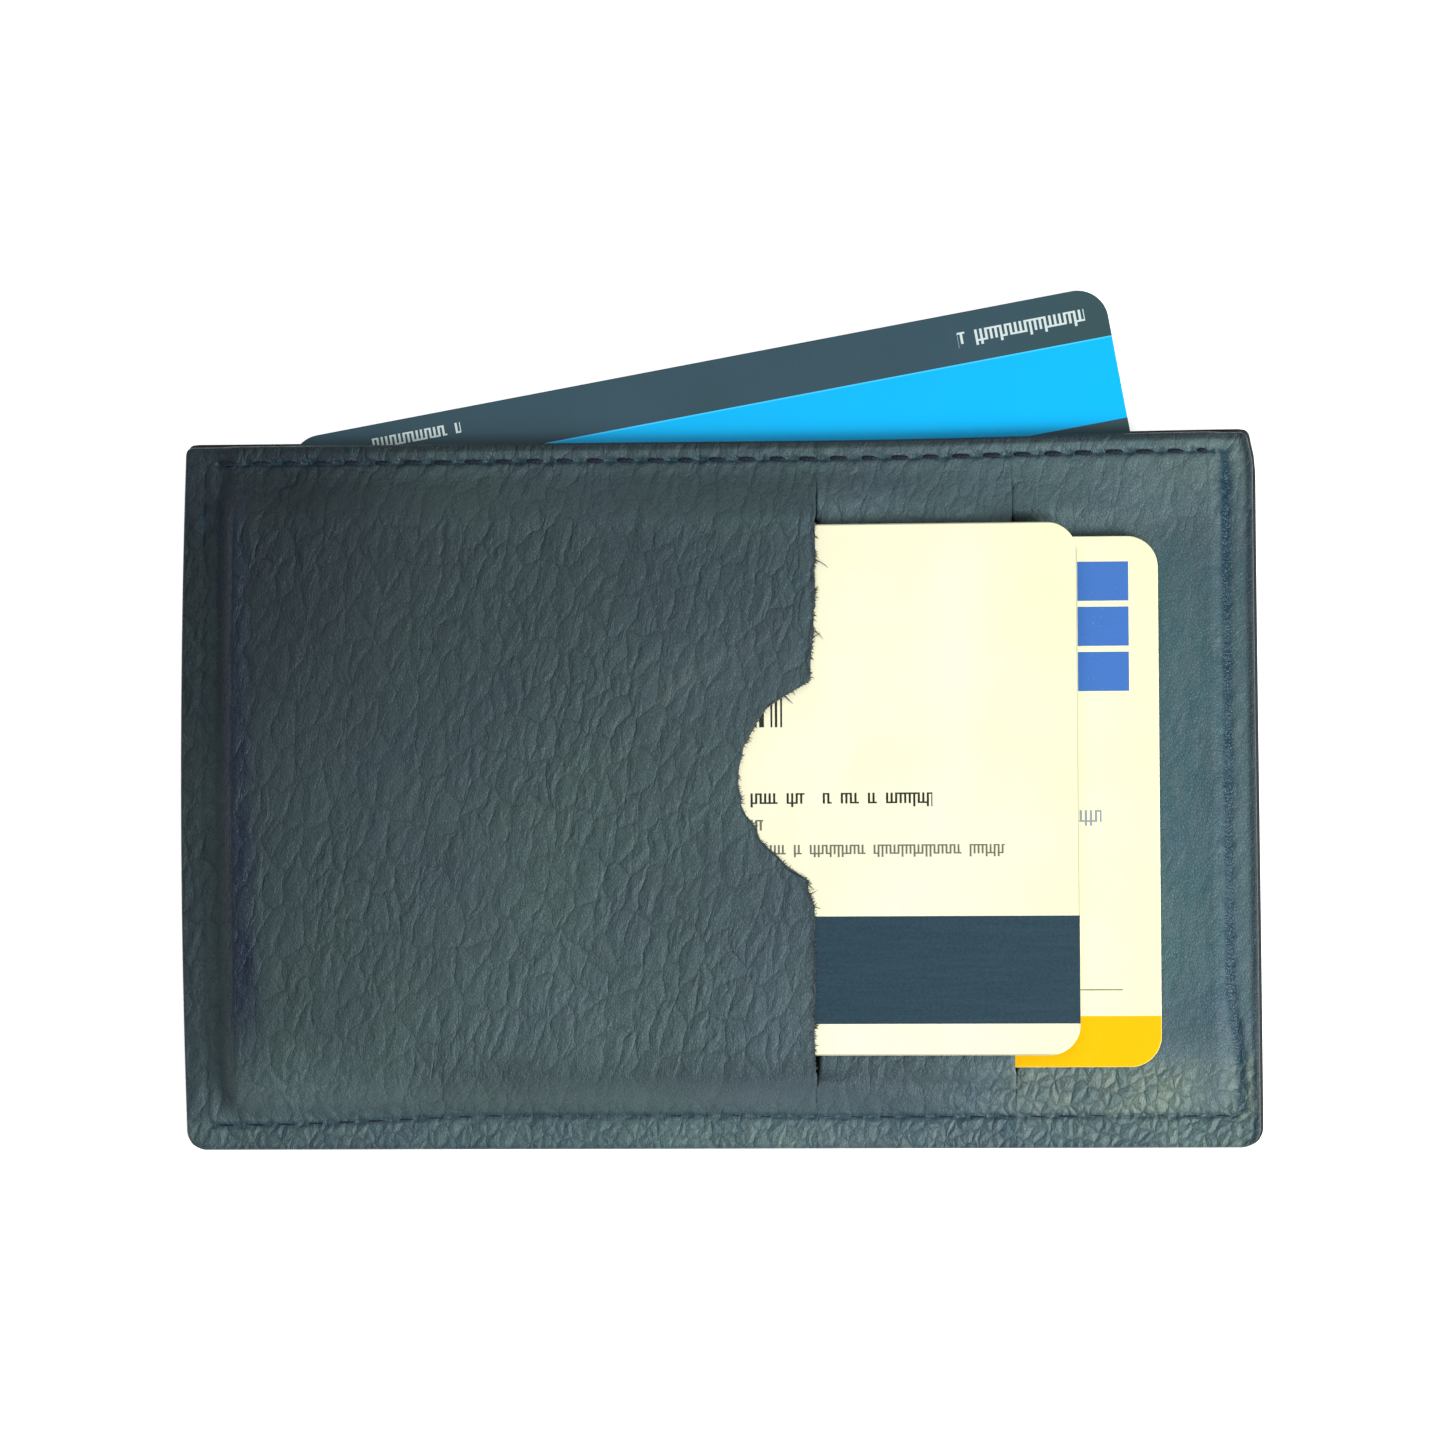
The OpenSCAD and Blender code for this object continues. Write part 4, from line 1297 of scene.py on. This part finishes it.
def make_threads():
    rng = np.random.default_rng(40)

    def on_front(x, y):
        at_side = x > SEAM_RIGHT - 0.5 or x < SEAM_LEFT + 0.1 and y < LEFT_DEEP_TO
        at_foot = y < SEAM_BOTTOM + 1
        buried = SUNK_DEEP if at_side else SUNK if at_foot else SUNK_LITTLE
        dx, dy = sewn(x, y)
        return FACE_Z + slot_open(x + dx, y + dy) - buried

    def on_rear(_x, _y):
        return REAR_THREAD_Z

    groups = [
        ("needle_stitches", stitches(SEAMS, on_front, 1, 41) + back_tack(rng), "seam_needle_thread"),
        ("bobbin_stitches", stitches(SEAMS, on_rear, -1, 42), "seam_bobbin_thread"),
        ("front_mouth_stitches", stitches([MOUTH_SEAM], on_front, 1, 43), "front_mouth_thread"),
        ("rear_mouth_stitches", stitches([MOUTH_SEAM], on_rear, -1, 44), "rear_mouth_thread"),
    ]
    for name, parts, node in groups:
        points, faces = joined(parts)
        settle(mesh_piece(name, points, faces, [THREAD]), HOLDER, "thread", node)


FIBRE_R = 0.08
FUZZ_COUNT, FUZZ_R, FUZZ_SHORT, FUZZ_MORE = 700, 0.07, 0.18, 0.4     # short fibres between them
# Long loose fibres on the cut lip: height, length, and how steeply each one hangs.
LONG_FIBRES = ((23.6, 1.7, -0.55), (16.4, 1.3, -0.9), (15.6, 1.1, 0.6), (9.8, 1.2, -0.9),
               (-10.4, 1.0, 0.5), (-11.6, 0.8, -0.3), (-24.0, 0.9, 0.8), (-9.4, 0.9, -0.8))


def fibre(y, length, slope, radius, rng):
    """One curled fibre that grows out of the first slit's cut lip at height y."""
    x = float(drawn(np.array(LIP_1[0]), np.array(y)))
    low = float(flap_low(x)) + 0.12
    z = rng.uniform(low, low + LEATHER_T - 0.35)
    t = np.linspace(0, 1, 7)
    curl = rng.uniform(-0.5, 0.5) * length
    path = np.stack([
        x - 0.12 + length * t / math.hypot(1, slope),
        y + length * slope * t / math.hypot(1, slope) + curl * t * (1 - t),
        z + (low - z) * t + 0.3 * length * t * (1 - t)], -1)
    return tube(path, radius * (1 - 0.75 * t), 5)


def make_fibres():
    rng = np.random.default_rng(50)
    parts = [fibre(y, length, slope, FIBRE_R, rng) for y, length, slope in LONG_FIBRES]
    for _ in range(FUZZ_COUNT):
        y = rng.uniform(CARD_2_Y - BAND, CARD_1_Y + BAND)
        length = FUZZ_SHORT + FUZZ_MORE * rng.random() ** 3
        parts.append(fibre(y, length, rng.uniform(-1.2, 1.2), FUZZ_R, rng))
    points, faces = joined(parts)
    return settle(mesh_piece("lip_fibres", points, faces, [RAW_EDGE]), HOLDER, "outer_leather")


# ---------------------------------------------------------------- the cards


def make_first_card():
    """The card and its stripe are one blank, parted along the stripe's sunk band."""
    past = 1.0
    low = -past, STRIPE_EDGE - CARD_H / 2, CARD_T - STRIPE_T
    high = CARD_L + past, low[1] + STRIPE_H, CARD_T + past
    card = card_blank("first_card", first_card_finish())
    stripe = card_blank("first_card_stripe", stripe_finish())
    for piece, way in ((card, "DIFFERENCE"), (stripe, "INTERSECT")):
        cut(piece, low, high, way)
        set_down(piece, (CARD_1_LEFT, CARD_1_Y, card_1_z(CARD_1_LEFT)), math.atan(SLOPE_1))
    settle(card, "front_card", "cream_card", "front_card")
    settle(stripe, "front_card", "magnetic_stripe", "front_card_stripe")


def make_second_card():
    card = card_blank("second_card_print", second_card_finish())
    set_down(card, (CARD_2_LEFT, CARD_2_Y, card_2_z(CARD_2_LEFT)), math.atan(SLOPE_2))
    settle(card, "second_card", "white_card", "second_card")


def make_slot_card():
    card = card_blank("slot_card_print", slot_card_finish())
    turn = SLOT_CARD_TURN
    place = (SLOT_CARD_X - CARD_L / 2 * math.cos(turn), SLOT_CARD_Y - CARD_L / 2 * math.sin(turn),
             LINING_HIGH[2] + CARD_GAP)
    set_down(card, place, 0.0, turn)
    settle(card, "slot_card", "slate_card", "slot_card")


# ---------------------------------------------------------------- studio


FLOOR_HALF = 1500.0
FLOOR_DROP = 0.0002     # metres from the holder down to the floor
WHITE = (1.0, 1.0, 1.0)
CAMERA_LENS, CAMERA_SENSOR = 97.36, 36
CAMERA_PLACE = (0.01813, -0.00356, 0.40285)     # in metres
CAMERA_TURN = (1.525, 2.546, -0.33)             # in degrees, about x, y and z


def make_floor():
    half = FLOOR_HALF
    corners = [(-half, -half, 0), (half, -half, 0), (half, half, 0), (-half, half, 0)]
    floor = mesh_piece("studio_floor", corners, [[0, 1, 2, 3]], [floor_finish()])
    floor.location.z = -FLOOR_DROP


def area_light(name, place, size, power):
    """A square white lamp at place, in metres, that faces the holder."""
    data = bpy.data.lights.new(name, "AREA")
    data.size = size
    data.energy = power
    data.color = WHITE
    lamp = bpy.data.objects.new(name, data)
    lamp.location = place
    lamp.rotation_euler = (-Vector(place)).to_track_quat("-Z", "Y").to_euler()
    lamp.visible_camera = False
    bpy.context.scene.collection.objects.link(lamp)


def make_lights():
    area_light("key", (0.24, -0.14, 0.20), 0.2, 1.74)
    area_light("fill", (-0.08, 0.20, 0.45), 0.4, 0.75)
    world = bpy.data.worlds.new("studio")
    world.use_nodes = True
    sky = world.node_tree.nodes["Background"].inputs
    sky["Color"].default_value = (*WHITE, 1)
    sky["Strength"].default_value = 0.25
    bpy.context.scene.world = world
    bpy.context.scene.view_settings.view_transform = "Standard"


def make_camera():
    data = bpy.data.cameras.new("camera")
    data.sensor_width = CAMERA_SENSOR
    data.lens = CAMERA_LENS
    camera = bpy.data.objects.new("camera", data)
    camera.location = CAMERA_PLACE
    camera.rotation_euler = [math.radians(a) for a in CAMERA_TURN]
    bpy.context.scene.collection.objects.link(camera)
    bpy.context.scene.camera = camera


make_camera()
make_front_leather()
make_rear_leather()
make_linings()
make_threads()
make_fibres()
make_first_card()
make_second_card()
make_slot_card()
make_floor()
make_lights()
